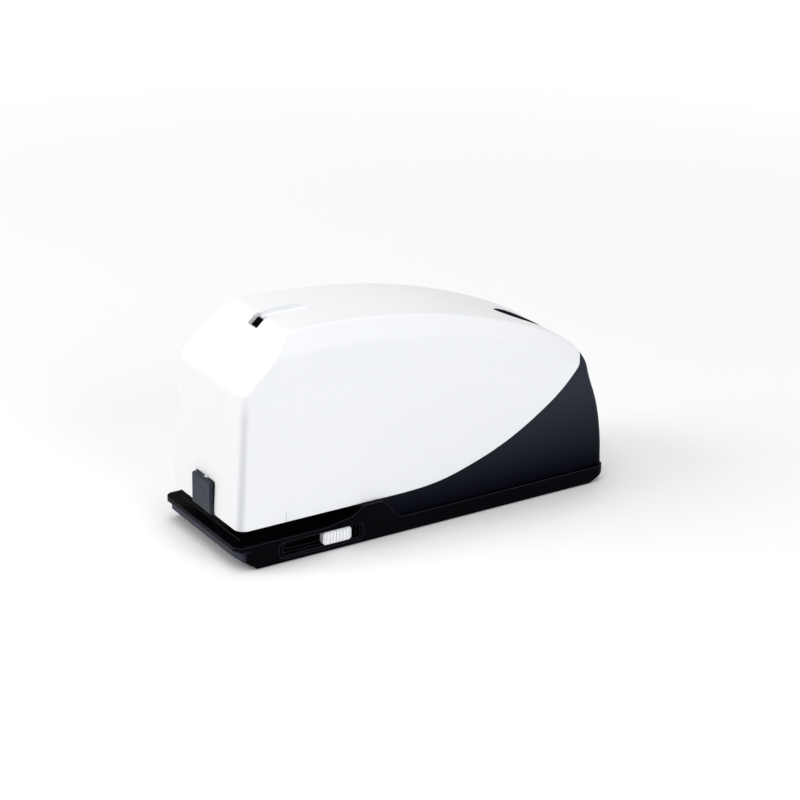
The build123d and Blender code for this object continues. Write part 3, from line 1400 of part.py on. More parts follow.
# ---------------------------------------------------- power socket and switch
with BuildPart() as power_jack:
    with BuildSketch(cross_plane(189.0)):
        with Locations((JACK_X, PORT_Z)):
            Circle(JACK_R)
    extrude(amount=-10.6)
    # annular well around the centre pin
    with BuildSketch(cross_plane(191.0)):
        with Locations((JACK_X, PORT_Z)):
            Circle(2.9)
            Circle(1.0, mode=Mode.SUBTRACT)
    extrude(amount=-12, mode=Mode.SUBTRACT)
save(power_jack.part, "power_jack")

ROCKER_S = 196.0
ROCKER_TILT = math.radians(-8)
ROCKER_HALF, ROCKER_PIN_HALF, ROCKER_PIN_R = 5.6, 6.4, 0.8
# section about the rocker's axis, untilted: (backwards, up)
ROCKER_SECTION = [
    (-1.6, -2.4), (-1.6, 2.4), (2.0, 4.2), (3.1, 4.2), (2.5, 0.9), (2.4, 0), (2.5, -0.9),
    (3.1, -4.2), (2.0, -4.2),
]

with BuildPart() as switch_housing:
    with BuildSketch(cross_plane(187.5)):
        with Locations((SWITCH_X, PORT_Z)):
            Rectangle(SWITCH_W, SWITCH_H)
    extrude(amount=-11.7)
    with BuildSketch(cross_plane(192.6)):
        with Locations((SWITCH_X, PORT_Z)):
            Rectangle(11.6, 9.8)
    extrude(amount=-12, mode=Mode.SUBTRACT)
    with BuildSketch(side_plane(SWITCH_X - 6.6)):
        with Locations(point(ROCKER_S, PORT_Z)):
            Circle(ROCKER_PIN_R + 0.05)
    extrude(amount=13.2, mode=Mode.SUBTRACT)
save(switch_housing.part, "switch_housing")


def tilted(back, up):
    """Side plane point of a rocker section point after tilting."""
    cos_tilt, sin_tilt = math.cos(ROCKER_TILT), math.sin(ROCKER_TILT)
    return point(ROCKER_S + back * cos_tilt - up * sin_tilt,
                 PORT_Z + back * sin_tilt + up * cos_tilt)


with BuildPart() as power_rocker:
    with BuildSketch(side_plane(SWITCH_X - ROCKER_HALF)):
        with BuildLine():
            Polyline(*[tilted(*row) for row in ROCKER_SECTION], close=True)
        make_face()
    extrude(amount=2 * ROCKER_HALF)
    with BuildSketch(side_plane(SWITCH_X - ROCKER_PIN_HALF)):
        with Locations(point(ROCKER_S, PORT_Z)):
            Circle(ROCKER_PIN_R)
    extrude(amount=2 * ROCKER_PIN_HALF)
save(power_rocker.part, "power_rocker")

# -------------------------------------------------------------------- wiring
# runs to the control board, rows of (x, station, z)
WIRES = [
    # from the motor
    [(-26.9, 126, 70.5), (-27.2, 120, 73.5), (-26.4, 112, 72), (-24.0, 106.5, 68.0)],
    # from the battery tray
    [(-20, 118, 21.6), (-21, 113, 25), (-23, 108, 31), (-23.6, 105.4, 38.0)],
    # from the power socket
    [(JACK_X, 187.6, 27), (2, 181, 31), (-18, 166, 35), (-25.0, 130, 38),
     (-24, 106.0, 46.0)],
]

with BuildPart() as wiring:
    for wire in WIRES:
        with BuildLine() as run:
            Spline(*[(x, y(station), z) for x, station, z in wire])
        with BuildSketch(Plane(origin=run.line @ 0, z_dir=run.line % 0)):
            Circle(0.7)
        sweep(path=run.line)
save(wiring.part, "wiring")
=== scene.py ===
"""Desktop stapler: moulded cover and rear housing, materials for all parts, studio and camera.

Blender works in metres with +Z up. The stapler stands on z = 0, lies along Y with its front
towards -Y and is symmetric about x = 0 in its main form. Shapes are written in mm as
(x, station, z), where the station counts back from the front lip.
"""
import json
import math

import bmesh
import bpy
import numpy as np
from mathutils import Matrix, Vector


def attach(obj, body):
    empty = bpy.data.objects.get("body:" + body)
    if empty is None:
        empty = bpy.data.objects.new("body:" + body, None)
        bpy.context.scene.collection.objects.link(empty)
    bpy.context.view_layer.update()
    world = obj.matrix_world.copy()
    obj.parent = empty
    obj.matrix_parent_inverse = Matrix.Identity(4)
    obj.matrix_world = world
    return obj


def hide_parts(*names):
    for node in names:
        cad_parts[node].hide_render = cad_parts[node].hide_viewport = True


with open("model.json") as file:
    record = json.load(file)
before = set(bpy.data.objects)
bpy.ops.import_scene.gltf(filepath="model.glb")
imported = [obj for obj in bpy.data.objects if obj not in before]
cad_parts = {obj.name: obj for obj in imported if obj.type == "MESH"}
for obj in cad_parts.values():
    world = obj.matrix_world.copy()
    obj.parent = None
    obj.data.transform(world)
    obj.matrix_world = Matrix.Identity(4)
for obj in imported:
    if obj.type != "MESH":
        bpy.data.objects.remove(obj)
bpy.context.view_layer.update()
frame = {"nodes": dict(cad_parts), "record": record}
MM = 0.001
L_HALF = 101.25          # half the stapler's length, the station of y = 0

# =====================================================================
# Outer form of the cover and the rear housing
# One smooth distance-like function: 0 is the outside, -WALL the inside of the shells.
# =====================================================================
# Roof along the middle: (station, z)
TOP_LINE = [
    (32, 105.6), (44, 106.1), (57.2, 105.7), (74.1, 104.5), (95.7, 101.8), (109, 99.4),
    (122.2, 96.4), (140.3, 91.2), (158.7, 84.6), (174, 78.0), (186.5, 71.3),
]
# Rear wall, upwards: (z, station)
REAR_LINE = [
    (7.9, 202.5), (9.0, 202.45), (17.6, 202.2), (29.0, 201.1), (43.8, 197.9), (57.0, 193.4),
    (66.0, 190.4), (68.65, 188.45), (71.4, 186.4),
]
# Line where the cover meets the housing: (station, z)
PARTING_LINE = [
    (84.5, 18.5), (97.5, 18.9), (110.7, 20.5), (123.9, 23.9), (137.2, 28.4), (150.6, 34.4),
    (164.0, 42.2), (177.4, 52.0), (187.4, 62.6), (195.4, 72.5),
]
# Right half of the leaf-shaped opening: (x, station)
LEAF_HALF = [(0, 158), (6.8, 165), (8.2, 172), (5.6, 180), (0, 187.2)]

WALL = 2.2
FRONT_S, FRONT_Z = 2.7, 18.7            # foot of the front wall
FRONT_RUN, FRONT_RISE = 3.3, 62.9       # how the front wall leans back
FACET_S, FACET_Z = 6.0, 81.6            # lower edge of the sloping facet above it
FACET_RUN, FACET_RISE = 26.0, 24.0
HALF_WIDTH, WIDEST_Z = 32.65, 7.9
SIDE_RUN, SIDE_RISE = 1.75, 100.1       # how the side walls lean inwards
SIDE_SLANT, FRONT_SLANT = 1.00015, 1.0014   # slanted length per unit of height
BAND_X, BAND_SLOPE = 24.2, 8.6 / 6.8    # inner edge and fall of the roof's sloping shoulders
FRONT_RADIUS, REAR_RADIUS = 5.0, 4.0    # upright corners
FACET_RADIUS, SHOULDER_RADIUS, ROOF_RADIUS = 0.9, 0.8, 1.1

# Section sampling
NOMINAL_LENGTH = 198.0
END_OFFSET = 2e-4                       # keeps the end sections just inside the walls
PIVOT_X, PIVOT_DROP = 19.0, 14.0        # centre of the shoulder's fan of rays, below the roof
SIDE_RAYS, FAN_RAYS, TOP_RAYS = 22, 56, 12


class Cubic:
    """Natural cubic spline through points, continued along its end tangents."""

    def __init__(self, xs, ys):
        self.x, self.y = np.array(xs, float), np.array(ys, float)
        count = len(self.x)
        step = np.diff(self.x)
        matrix = np.zeros((count, count))
        target = np.zeros(count)
        matrix[0, 0] = matrix[-1, -1] = 1
        for i in range(1, count - 1):
            matrix[i, i - 1:i + 2] = step[i - 1], 2 * (step[i - 1] + step[i]), step[i]
            target[i] = 6 * ((self.y[i + 1] - self.y[i]) / step[i]
                             - (self.y[i] - self.y[i - 1]) / step[i - 1])
        self.bend = np.linalg.solve(matrix, target)
        self.step = step

    def locate(self, query):
        """Segment index, its length, and the distances to its start and end."""
        i = np.clip(np.searchsorted(self.x, query) - 1, 0, len(self.step) - 1)
        return i, self.step[i], query - self.x[i], self.x[i + 1] - query

    def at(self, query):
        query = np.asarray(query, float)
        held = np.clip(query, self.x[0], self.x[-1])
        i, h, t, u = self.locate(held)
        value = (self.bend[i] * u ** 3 + self.bend[i + 1] * t ** 3) / (6 * h) \
            + (self.y[i] / h - self.bend[i] * h / 6) * u \
            + (self.y[i + 1] / h - self.bend[i + 1] * h / 6) * t
        return value + self.slope(held) * (query - held)

    def slope(self, query):
        i, h, t, u = self.locate(np.clip(np.asarray(query, float), self.x[0], self.x[-1]))
        return (-self.bend[i] * u ** 2 + self.bend[i + 1] * t ** 2) / (2 * h) \
            + (self.y[i + 1] - self.y[i]) / h - (self.bend[i + 1] - self.bend[i]) * h / 6


TOP = Cubic(*zip(*TOP_LINE))
REAR = Cubic(*zip(*REAR_LINE))


def curve_through(points, count):
    """Points along a smooth curve through the given ones (chord length parameter)."""
    p = np.array(points, float)
    chord = np.concatenate([[0], np.cumsum(np.hypot(*np.diff(p, axis=0).T))])
    query = np.linspace(0, chord[-1], count)
    across, along = Cubic(chord, p[:, 0]).at(query), Cubic(chord, p[:, 1]).at(query)
    return [(float(a), float(b)) for a, b in zip(across, along)]


def round_max(a, b, radius):
    """Intersection of two distances, its edge rounded."""
    over_a, over_b = np.maximum(a + radius, 0), np.maximum(b + radius, 0)
    return np.minimum(-radius, np.maximum(a, b)) + np.hypot(over_a, over_b)


def front_station(z):
    return FRONT_S + (z - FRONT_Z) * FRONT_RUN / FRONT_RISE


def form(x, s, z):
    """Negative inside, about the distance in mm outside."""
    across = np.abs(x)
    half_width = HALF_WIDTH - (z - WIDEST_Z) * SIDE_RUN / SIDE_RISE
    side = (across - half_width) / SIDE_SLANT
    front = (front_station(z) - s) / math.hypot(1, FRONT_RUN / FRONT_RISE)
    rear = (s - REAR.at(z)) / np.sqrt(1 + REAR.slope(z) ** 2)
    facet = ((z - FACET_Z) * FACET_RUN - (s - FACET_S) * FACET_RISE) \
        / math.hypot(FACET_RUN, FACET_RISE)
    held = np.maximum(s, TOP.x[0])
    height, slope = TOP.at(held), TOP.slope(held)
    top = (z - height) / np.sqrt(1 + slope ** 2)
    shoulder = (z - height + (across - BAND_X) * BAND_SLOPE) \
        / np.sqrt(1 + slope ** 2 + BAND_SLOPE ** 2)
    wall = round_max(side, front, FRONT_RADIUS)
    wall = round_max(wall, rear, REAR_RADIUS)
    roof = round_max(top, facet, FACET_RADIUS)
    roof = round_max(roof, shoulder, SHOULDER_RADIUS)
    return round_max(wall, roof, ROOF_RADIUS)


def form_normal(points):
    """Unit outward normals at points (n x 3), by central differences."""
    steps = np.eye(3) * 0.01
    gradient = np.stack([form(*(points + d).T) - form(*(points - d).T) for d in steps], 1)
    return gradient / np.maximum(np.linalg.norm(gradient, axis=1, keepdims=True), 1e-12)


def bisect(inside, low, high, steps):
    """The last value from low towards high for which inside(value) holds."""
    for _ in range(steps):
        middle = (low + high) / 2
        within = inside(middle)
        low, high = np.where(within, middle, low), np.where(within, high, middle)
    return low


def section_station(depth, z, inset):
    """Station of a section: it follows the front wall, then blends to follow the rear wall."""
    start = front_station(z) + inset * FRONT_SLANT
    length = REAR.at(z) - inset * np.sqrt(1 + REAR.slope(z) ** 2) - start
    blend = np.clip((depth - 10) / (NOMINAL_LENGTH - 20), 0, 1)
    blend = blend * blend * (3 - 2 * blend)
    return start + depth + (length - (NOMINAL_LENGTH - 2 * inset)) * blend


def section_loop(depth, inset, bottom):
    """One section of the form: bottom right, over the roof, to bottom left."""
    roof = bisect(lambda z: form(0.0, section_station(depth, z, inset), z) < -inset,
                  20.0, 125.0, 40)
    pivot_z = roof - PIVOT_DROP
    # Rays out of the section: origin x, z and direction x, z
    rays = [(PIVOT_X, z, 1.0, 0.0) for z in np.linspace(bottom, pivot_z, SIDE_RAYS)]
    rays += [(PIVOT_X, pivot_z, math.cos(angle), math.sin(angle))
             for angle in np.linspace(0, math.pi / 2, FAN_RAYS + 2)[1:-1]]
    rays += [(x, pivot_z, 0.0, 1.0) for x in np.linspace(PIVOT_X, 0, TOP_RAYS)]
    rays = np.array(rays)

    def points(reach):
        x, z = (rays[:, :2] + rays[:, 2:] * reach[:, None]).T
        return x, section_station(depth, z, inset), z

    reach = bisect(lambda t: form(*points(t)) < -inset,
                   np.zeros(len(rays)), np.full(len(rays), 60.0), 36)
    half = np.stack(points(reach), 1)
    return np.concatenate([half, half[:-1][::-1] * np.array([-1, 1, 1])])


def form_mesh(name, inset, bottom):
    """Closed mesh of the form, inset by some mm and cut flat at z = bottom."""
    span = NOMINAL_LENGTH - 2 * inset
    front_round = FRONT_RADIUS - inset * 0.9
    rear_round = REAR_RADIUS - inset * 0.9
    turn = 1 - np.cos(np.linspace(0, math.pi / 2, 11))
    depths = np.concatenate([
        front_round * turn + END_OFFSET,
        np.arange(front_round + 0.9, 23, 1.3),
        np.arange(23, 36, 0.55),
        np.arange(36.4, 48, 1.4),
        np.arange(49, 165, 2.6),
        np.arange(166, span - rear_round - 0.3, 1.2),
        (span - (rear_round * turn + END_OFFSET))[::-1],
    ])
    loops = [section_loop(depth, inset, bottom) for depth in depths]
    size = len(loops[0])
    faces = []
    for i in range(len(loops) - 1):
        a, b = i * size, (i + 1) * size
        for j in range(size - 1):
            faces.append((a + j, a + j + 1, b + j + 1, b + j))
        faces.append((a + size - 1, a, b, b + size - 1))
    last = (len(loops) - 1) * size
    faces.append(tuple(range(size - 1, -1, -1)))
    faces.append(tuple(range(last, last + size)))
    return make_object(name, np.concatenate(loops), faces)


# =====================================================================
# Mesh helpers
# =====================================================================
def link_object(name, data):
    ob = bpy.data.objects.new(name, data)
    bpy.context.scene.collection.objects.link(ob)
    return ob


def make_object(name, points, faces):
    """Points in (x, station, z) mm; outward winding is settled here."""
    verts = np.array(points, float)
    verts[:, 1] -= L_HALF
    mesh = bpy.data.meshes.new(name)
    mesh.from_pydata((verts * MM).tolist(), [], faces)
    bm = bmesh.new()
    bm.from_mesh(mesh)
    bmesh.ops.recalc_face_normals(bm, faces=bm.faces)
    bm.to_mesh(mesh)
    bm.free()
    mesh.validate()
    return link_object(name, mesh)


def prism(outline, axis, start, end):
    """Closed prism. Axis 'x' takes a (station, z) outline, 'z' (x, station), 's' (x, z)."""
    n = len(outline)
    points = [{"x": (t, p, q), "z": (p, q, t), "s": (p, t, q)}[axis]
              for t in (start, end) for p, q in outline]
    faces = [tuple(range(n)), tuple(range(2 * n - 1, n - 1, -1))]
    faces += [(i, (i + 1) % n, n + (i + 1) % n, n + i) for i in range(n)]
    return make_object("tool", points, faces)


def join(objects):
    """One object from several closed pieces that don't touch."""
    bm = bmesh.new()
    for ob in objects:
        bm.from_mesh(ob.data)
    mesh = bpy.data.meshes.new("tool")
    bm.to_mesh(mesh)
    bm.free()
    for ob in objects:
        bpy.data.objects.remove(ob)
    return link_object("tool", mesh)


def boolean(target, tool, operation="DIFFERENCE"):
    """Apply an exact boolean to the target and remove the tool."""
    modifier = target.modifiers.new("cut", "BOOLEAN")
    modifier.operation = operation
    modifier.solver = "EXACT"
    modifier.object = tool
    bpy.context.view_layer.update()
    depsgraph = bpy.context.evaluated_depsgraph_get()
    mesh = bpy.data.meshes.new_from_object(target.evaluated_get(depsgraph))
    target.modifiers.clear()
    old = target.data
    target.data = mesh
    bpy.data.meshes.remove(old)
    bpy.data.objects.remove(tool)


def volume(ob):
    """Volume in mm3."""
    bm = bmesh.new()
    bm.from_mesh(ob.data)
    result = bm.calc_volume(signed=True) * 1e9
    bm.free()
    return result


def boolean_if_sound(target, tool, operation, low, high):
    """Guards against a failed boolean: kept only if the volume changes by low..high mm3."""
    before, saved = volume(target), target.data.copy()
    boolean(target, tool, operation)
    if not low <= volume(target) - before <= high:
        target.data = saved


def clean(ob, dist=2e-6):
    """Merge doubled points and drop degenerate faces."""
    bm = bmesh.new()
    bm.from_mesh(ob.data)
    bmesh.ops.remove_doubles(bm, verts=bm.verts, dist=dist)
    bmesh.ops.dissolve_degenerate(bm, dist=dist, edges=bm.edges)
    bm.to_mesh(ob.data)
    bm.free()


def circle(cx, cy, radius, segments):
    return [(cx + radius * math.cos(2 * math.pi * i / segments),
             cy + radius * math.sin(2 * math.pi * i / segments)) for i in range(segments)]


def rounded_rect(cx, cy, width, height, radius, steps=8):
    points = []
    for k, (sx, sy) in enumerate(((1, 1), (-1, 1), (-1, -1), (1, -1))):
        for i in range(steps + 1):
            angle = math.pi / 2 * (k + i / steps)
            points.append((cx + sx * (width / 2 - radius) + radius * math.cos(angle),
                           cy + sy * (height / 2 - radius) + radius * math.sin(angle)))
    return points


def slot_outline(cx, cs, length, width, steps=16):
    """Slot with round ends, long along the station."""
    radius, reach = width / 2, (length - width) / 2
    return [(cx + radius * math.cos(angle), cs + end * reach + radius * math.sin(angle))
            for end, first in ((1, 0), (-1, math.pi))
            for angle in np.linspace(first, first + math.pi, steps)]


def leaf_outline():
    half = curve_through(LEAF_HALF, 34)
    return half + [(-x, s) for x, s in half[1:-1][::-1]]


def parting_points(shift_s=0.0, shift_z=0.0):
    return [(s + shift_s, z + shift_z) for s, z in curve_through(PARTING_LINE, 90)]


def read_values(items, attribute, width=1, kind=float):
    values = np.zeros(len(items) * width, kind)
    items.foreach_get(attribute, values)
    return values


def form_shading(ob, tolerance=0.03):
    """Exact normals of the form on the outside and inside skins, flat ones on the cut edges."""
    mesh = ob.data
    count = len(mesh.polygons)
    mesh.polygons.foreach_set("use_smooth", np.ones(count, bool))
    points = read_values(mesh.vertices, "co", 3).reshape(-1, 3) / MM
    points[:, 1] += L_HALF
    exact, level = form_normal(points), form(*points.T)
    corner_vert = read_values(mesh.loops, "vertex_index", kind=int)
    corner_face = np.repeat(np.arange(count), read_values(mesh.polygons, "loop_total", kind=int))
    flat = read_values(mesh.polygons, "normal", 3).reshape(-1, 3)
    normals = flat[corner_face].copy()
    agreement = (exact[corner_vert] * normals).sum(1)
    # A face belongs to a skin if all its corners lie on it and its own normal agrees
    for skin_level, sign in ((0.0, 1), (-WALL, -1)):
        lowest = np.full(count, 9.0)
        np.minimum.at(lowest, corner_face, sign * agreement)
        worst = np.zeros(count)
        np.maximum.at(worst, corner_face, np.abs(level[corner_vert] - skin_level))
        on_skin = ((worst < tolerance) & (lowest > 0.7))[corner_face]
        normals[on_skin] = sign * exact[corner_vert[on_skin]]
    mesh.normals_split_custom_set(normals.tolist())


# =====================================================================
# Top cover and rear housing
# =====================================================================
BEYOND = 260             # station well behind the stapler
COVER_FOOT = 18.7        # lower edge of the cover ahead of the parting line
COVER_GAP = 0.14         # height of the joint between cover and housing
BOTH_SIDES = (-1, 1)


def build_skin():
    """Hollow shell of the whole form with two openings in the rear wall."""
    skin = form_mesh("skin_out", inset=0.0, bottom=4.0)
    boolean(skin, form_mesh("skin_in", inset=WALL, bottom=2.0))
    boolean(skin, join([
        prism(rounded_rect(-14, 27, 14.4, 12.4, 0.5, steps=4), "s", 190, 210),
        prism(circle(14, 27, 4.6, 40), "s", 190, 210),
    ]))
    return skin


def cut_cover(cover):
    """Keep the part above the parting line, add its openings and two inner posts."""
    edge = [(s, max(z, COVER_FOOT)) for s, z in parting_points(-0.08, COVER_GAP)[1:]]
    below = [(PARTING_LINE[0][0], COVER_FOOT)] + edge + [
        (BEYOND, PARTING_LINE[-1][1] + COVER_GAP), (BEYOND, -20), (-20, -20), (-20, COVER_FOOT)]
    boolean(cover, prism(below, "x", -60, 60))
    mouth = [(-8.9, 10), (8.9, 10), (8.9, 33.8), (8.4, 34.3), (-8.4, 34.3), (-8.9, 33.8)]
    slit = [(26.75, 10), (27.0, 10), (26.6, 23.6), (26.4, 23.6)]
    boolean(cover, join([
        prism(mouth, "s", -5, 9),
        prism(slit, "x", 32.1, 40),
        prism(slit, "x", -40, -32.1),
        prism(rounded_rect(0.4, 30.8, 8.2, 5.8, 0.6), "z", 96, 112),
        prism(leaf_outline(), "z", 60, 112),
    ]))
    # Shallow slot-shaped recess in the roof
    boolean(cover, prism(slot_outline(0, 45.0, 23.5, 8.0), "z", 104.4, 112))
    posts = [prism(circle(side * 12.5, 171, 2.0, 24), "z", 51.8, 77.4) for side in BOTH_SIDES]
    boolean(cover, join(posts), "UNION")
    clean(cover)


def cut_housing(housing):
    """Keep the part below the parting line, add drilled screw posts and their ribs."""
    above = [(86.6, 8.2), (86.4, 8.4), (76.3, 18.5)] + parting_points() + [
        (BEYOND, PARTING_LINE[-1][1]), (BEYOND, 140), (-20, 140), (-20, -5),
        (BEYOND, -5), (BEYOND, 8.2)]
    boolean(housing, prism(above, "x", -60, 60))
    clean(housing)
    post_x, post_s, post_top = 12, 186.5, 16.6
    posts = [prism(circle(side * post_x, post_s, 3.1, 32), "z", 3.1, post_top)
             for side in BOTH_SIDES]
    boolean_if_sound(housing, join(posts), "UNION", 700, 950)
    ribs = []
    for side in BOTH_SIDES:
        left, right = side * post_x - 0.8, side * post_x + 0.8
        outline = [(left, 187.5), (right, 187.5), (right, 201.0), (left, 201.0)]
        ribs.append(prism(outline, "z", 8.35, post_top))
    boolean_if_sound(housing, join(ribs), "UNION", 150, 400)
    holes = [prism(circle(side * post_x, post_s, 1.15, 24), "z", 3.0, 14.1)
             for side in BOTH_SIDES]
    boolean_if_sound(housing, join(holes), "DIFFERENCE", -120, -60)
    clean(housing)


housing = build_skin()
cover = housing.copy()
cover.data = housing.data.copy()
cover.name = "cover_shell"
bpy.context.scene.collection.objects.link(cover)
cut_cover(cover)
housing.name = "housing_shell"
cut_housing(housing)

for shell in (cover, housing):
    shell.data.materials.clear()
    form_shading(shell)

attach(cover, "root")
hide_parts("top_cover")
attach(housing, "root")
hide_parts("rear_housing")


# =====================================================================
# Materials, all procedural, in object space (metres)
# =====================================================================
def scaled(color, factor):
    return tuple(min(1.0, channel * factor) for channel in color)


class Shader:
    """A material and short calls for its nodes. Values may be numbers, tuples or sockets."""

    def __init__(self, name):
        self.mat = bpy.data.materials.new(name)
        self.mat.use_nodes = True
        self.tree = self.mat.node_tree
        self.bsdf = self.tree.nodes["Principled BSDF"]
        self.coord = self.new("TexCoord").outputs["Object"]

    def feed(self, socket, value):
        if isinstance(value, bpy.types.NodeSocket):
            self.tree.links.new(value, socket)
        elif isinstance(value, tuple):
            # Colours get their alpha, vectors stay at three numbers
            socket.default_value = (*value, 1)[:len(socket.default_value)]
        else:
            socket.default_value = value

    def feed_named(self, node, inputs):
        """Underscores in the names stand for spaces."""
        for name, value in inputs.items():
            self.feed(node.inputs[name.replace("_", " ")], value)

    def new(self, kind, settings=None, **inputs):
        node = self.tree.nodes.new("ShaderNode" + kind)
        for name, value in (settings or {}).items():
            setattr(node, name, value)
        self.feed_named(node, inputs)
        return node

    def operate(self, kind, operation, *values):
        node = self.new(kind, {"operation": operation})
        for socket, value in zip(node.inputs, values):
            self.feed(socket, value)
        return node.outputs

    def math(self, operation, a, b=0.0):
        return self.operate("Math", operation, a, b)[0]

    def position(self):
        return self.new("SeparateXYZ", Vector=self.coord).outputs

    def noise(self, scale, detail=3.0, rough=0.55, stretch=(1, 1, 1)):
        mapping = self.new("Mapping", Vector=self.coord, Scale=stretch)
        return self.new("TexNoise", Vector=mapping.outputs["Vector"], Scale=scale,
                        Detail=detail, Roughness=rough).outputs["Fac"]

    def remap(self, value, to=(0.0, 1.0), span=(0.0, 1.0), interpolation="LINEAR"):
        """Take the input range span to the output range to."""
        return self.new("MapRange", {"interpolation_type": interpolation}, Value=value,
                        From_Min=span[0], From_Max=span[1],
                        To_Min=to[0], To_Max=to[1]).outputs["Result"]

    def ramp(self, fac, stops):
        node = self.new("ValToRGB", Fac=fac)
        elements = node.color_ramp.elements
        while len(elements) < len(stops):
            elements.new(0.5)
        for k, (position, color) in enumerate(stops):
            elements[k].position = position
            elements[k].color = (*color, 1)
        return node.outputs["Color"]

    def mix(self, fac, a, b):
        node = self.new("Mix", {"data_type": "RGBA"})
        for index, value in ((0, fac), (6, a), (7, b)):
            self.feed(node.inputs[index], value)
        return node.outputs[2]

    def mottle(self, color, cloud, spread):
        """The colour varied up and down by a share of itself."""
        return self.mix(self.remap(cloud, span=(0.3, 0.7)),
                        scaled(color, 1 - spread), scaled(color, 1 + spread))

    def overlay(self, base, color, mask, amount):
        return self.mix(self.math("MULTIPLY", mask, amount), base, color)

    def bevel(self, radius, samples=6):
        return self.new("Bevel", {"samples": samples}, Radius=radius).outputs["Normal"]

    def rounded(self, radius, samples=6):
        """Softened edges: the bevelled normal and a 0..1 mask that is 1 on an edge."""
        normal = self.bevel(radius, samples)
        surface = self.new("NewGeometry").outputs["Normal"]
        facing = self.operate("VectorMath", "DOT_PRODUCT", normal, surface)["Value"]
        return normal, self.remap(facing, to=(1.0, 0.0), span=(0.72, 0.995))

    def bump(self, height, distance, normal=None):
        node = self.new("Bump", Strength=1.0, Distance=distance, Height=height)
        if normal is not None:
            self.feed(node.inputs["Normal"], normal)
        return node.outputs["Normal"]

    def finish(self, color, rough, normal, **inputs):
        self.feed_named(self.bsdf,
                        dict(Base_Color=color, Roughness=rough, Normal=normal, **inputs))
        return self.mat


def moulded(name, color, rough, grain, grain_scale, vary, edge=0.0005, painted_edge_shading=None,
            painted_edge_shading_amount=0.35, specular=0.5):
    """Injection moulded plastic: fine grain, faint flow variation, painted edge shading: a
    painted highlight by default, painted shade where the edge colour is darker.
    """
    n = Shader(name)
    flow = n.noise(scale=38.0, detail=4.0, rough=0.6, stretch=(1, 0.35, 1))
    fine = n.noise(scale=grain_scale, detail=2.0, rough=0.6)
    col = n.mottle(color, flow, spread=vary)
    normal, mask = n.rounded(radius=edge)
    # Painted edge shading: a lighter edge colour paints a highlight, a darker one paints shade.
    col = n.overlay(col, painted_edge_shading or scaled(color, 1.6), mask, amount=painted_edge_shading_amount)
    smear = n.noise(scale=150.0, detail=5.0, rough=0.65)
    roughness = n.math("ADD", n.remap(smear, to=(rough - 0.08, rough + 0.08), span=(0.25, 0.75)),
                       n.math("MULTIPLY", mask, -0.08))
    return n.finish(col, roughness, n.bump(fine, distance=grain, normal=normal),
                    Specular_IOR_Level=specular, Coat_Roughness=0.12)


def metal(name, color, rough, brush_scale, stain, brush=(1, 1, 1), brush_depth=0.000004):
    """Bare metal with streaks stretched by brush, cloudy stains and a painted highlight along the
    edges.
    """
    n = Shader(name)
    streak = n.noise(scale=brush_scale, detail=3.0, rough=0.7, stretch=brush)
    cloud = n.noise(scale=90.0, detail=5.0, rough=0.6)
    normal, mask = n.rounded(radius=0.0002, samples=4)
    col = n.mottle(color, cloud, spread=stain)
    # Painted highlight: the edges are lightened.
    col = n.overlay(col, scaled(color, 1.25), mask, amount=0.5)
    roughness = n.math("ADD", n.remap(streak, to=(rough - 0.07, rough + 0.09), span=(0.25, 0.75)),
                       n.remap(cloud, to=(-0.04, 0.05), span=(0.3, 0.7)))
    return n.finish(col, roughness, n.bump(streak, distance=brush_depth, normal=normal),
                    Metallic=1.0)


def rings(name, color, rough, pitch, depth, axis, metallic=1.0):
    """Repeated bands along one axis: a staple strip's wires or a core's laminations, with painted
    shade in the grooves between them.
    """
    n = Shader(name)
    wave = n.math("SINE", n.math("MULTIPLY", n.position()[axis], 2 * math.pi / pitch))
    height = n.remap(wave, span=(-1.0, 0.2))
    cloud = n.noise(scale=300.0, detail=3.0, rough=0.6)
    # Painted shade: the grooves between the bands are darkened.
    col = n.mix(height, scaled(color, 0.55), color)
    col = n.mix(n.remap(cloud, to=(0, 0.25), span=(0.4, 0.8)), col, scaled(color, 0.7))
    roughness = n.remap(cloud, to=(rough - 0.05, rough + 0.1), span=(0.3, 0.7))
    return n.finish(col, roughness, n.bump(height, distance=depth), Metallic=metallic)


def lens(name):
    """Smoked lens, slightly lighter towards its back end."""
    n = Shader(name)
    fine = n.noise(scale=700.0, detail=3.0, rough=0.6)
    depth = n.remap(n.position()["Y"], span=(0.056, 0.086))
    col = n.mix(depth, (0.003, 0.003, 0.005), (0.022, 0.026, 0.038))
    normal = n.bevel(radius=0.0003, samples=4)
    roughness = n.remap(fine, to=(0.14, 0.24), span=(0.3, 0.7))
    return n.finish(col, roughness, n.bump(fine, distance=0.000002, normal=normal),
                    Specular_IOR_Level=0.0)


def clear(name, tint):
    """Clear tinted plastic."""
    n = Shader(name)
    fine = n.noise(scale=900.0, detail=2.0, rough=0.5)
    roughness = n.remap(fine, to=(0.06, 0.16), span=(0.3, 0.7))
    col = n.mix(n.noise(scale=60.0), tint, scaled(tint, 0.93))
    return n.finish(col, roughness, n.bump(fine, distance=0.000002),
                    Transmission_Weight=0.85, IOR=1.5)


def cell_sleeve(name):
    """A battery's shrink sleeve: dark body, an ochre band near the back, bare ends."""
    n = Shader(name)
    bare, dark = (0.75, 0.75, 0.76), (0.09, 0.15, 0.13)
    band = n.ramp(n.remap(n.position()["Y"], span=(0.018, 0.076)),
                  [(0.0, bare), (0.05, dark), (0.62, dark),
                   (0.64, (0.72, 0.48, 0.16)), (0.93, (0.74, 0.5, 0.18)), (0.96, bare)])
    wear = n.noise(scale=260.0, detail=5.0, rough=0.7)
    col = n.mix(n.remap(wear, to=(0, 0.3), span=(0.5, 0.8)), band, (0.2, 0.2, 0.2))
    roughness = n.remap(wear, to=(0.22, 0.42), span=(0.3, 0.7))
    return n.finish(col, roughness, n.bump(wear, distance=0.00001),
                    Metallic=0.35, Coat_Weight=0.4)


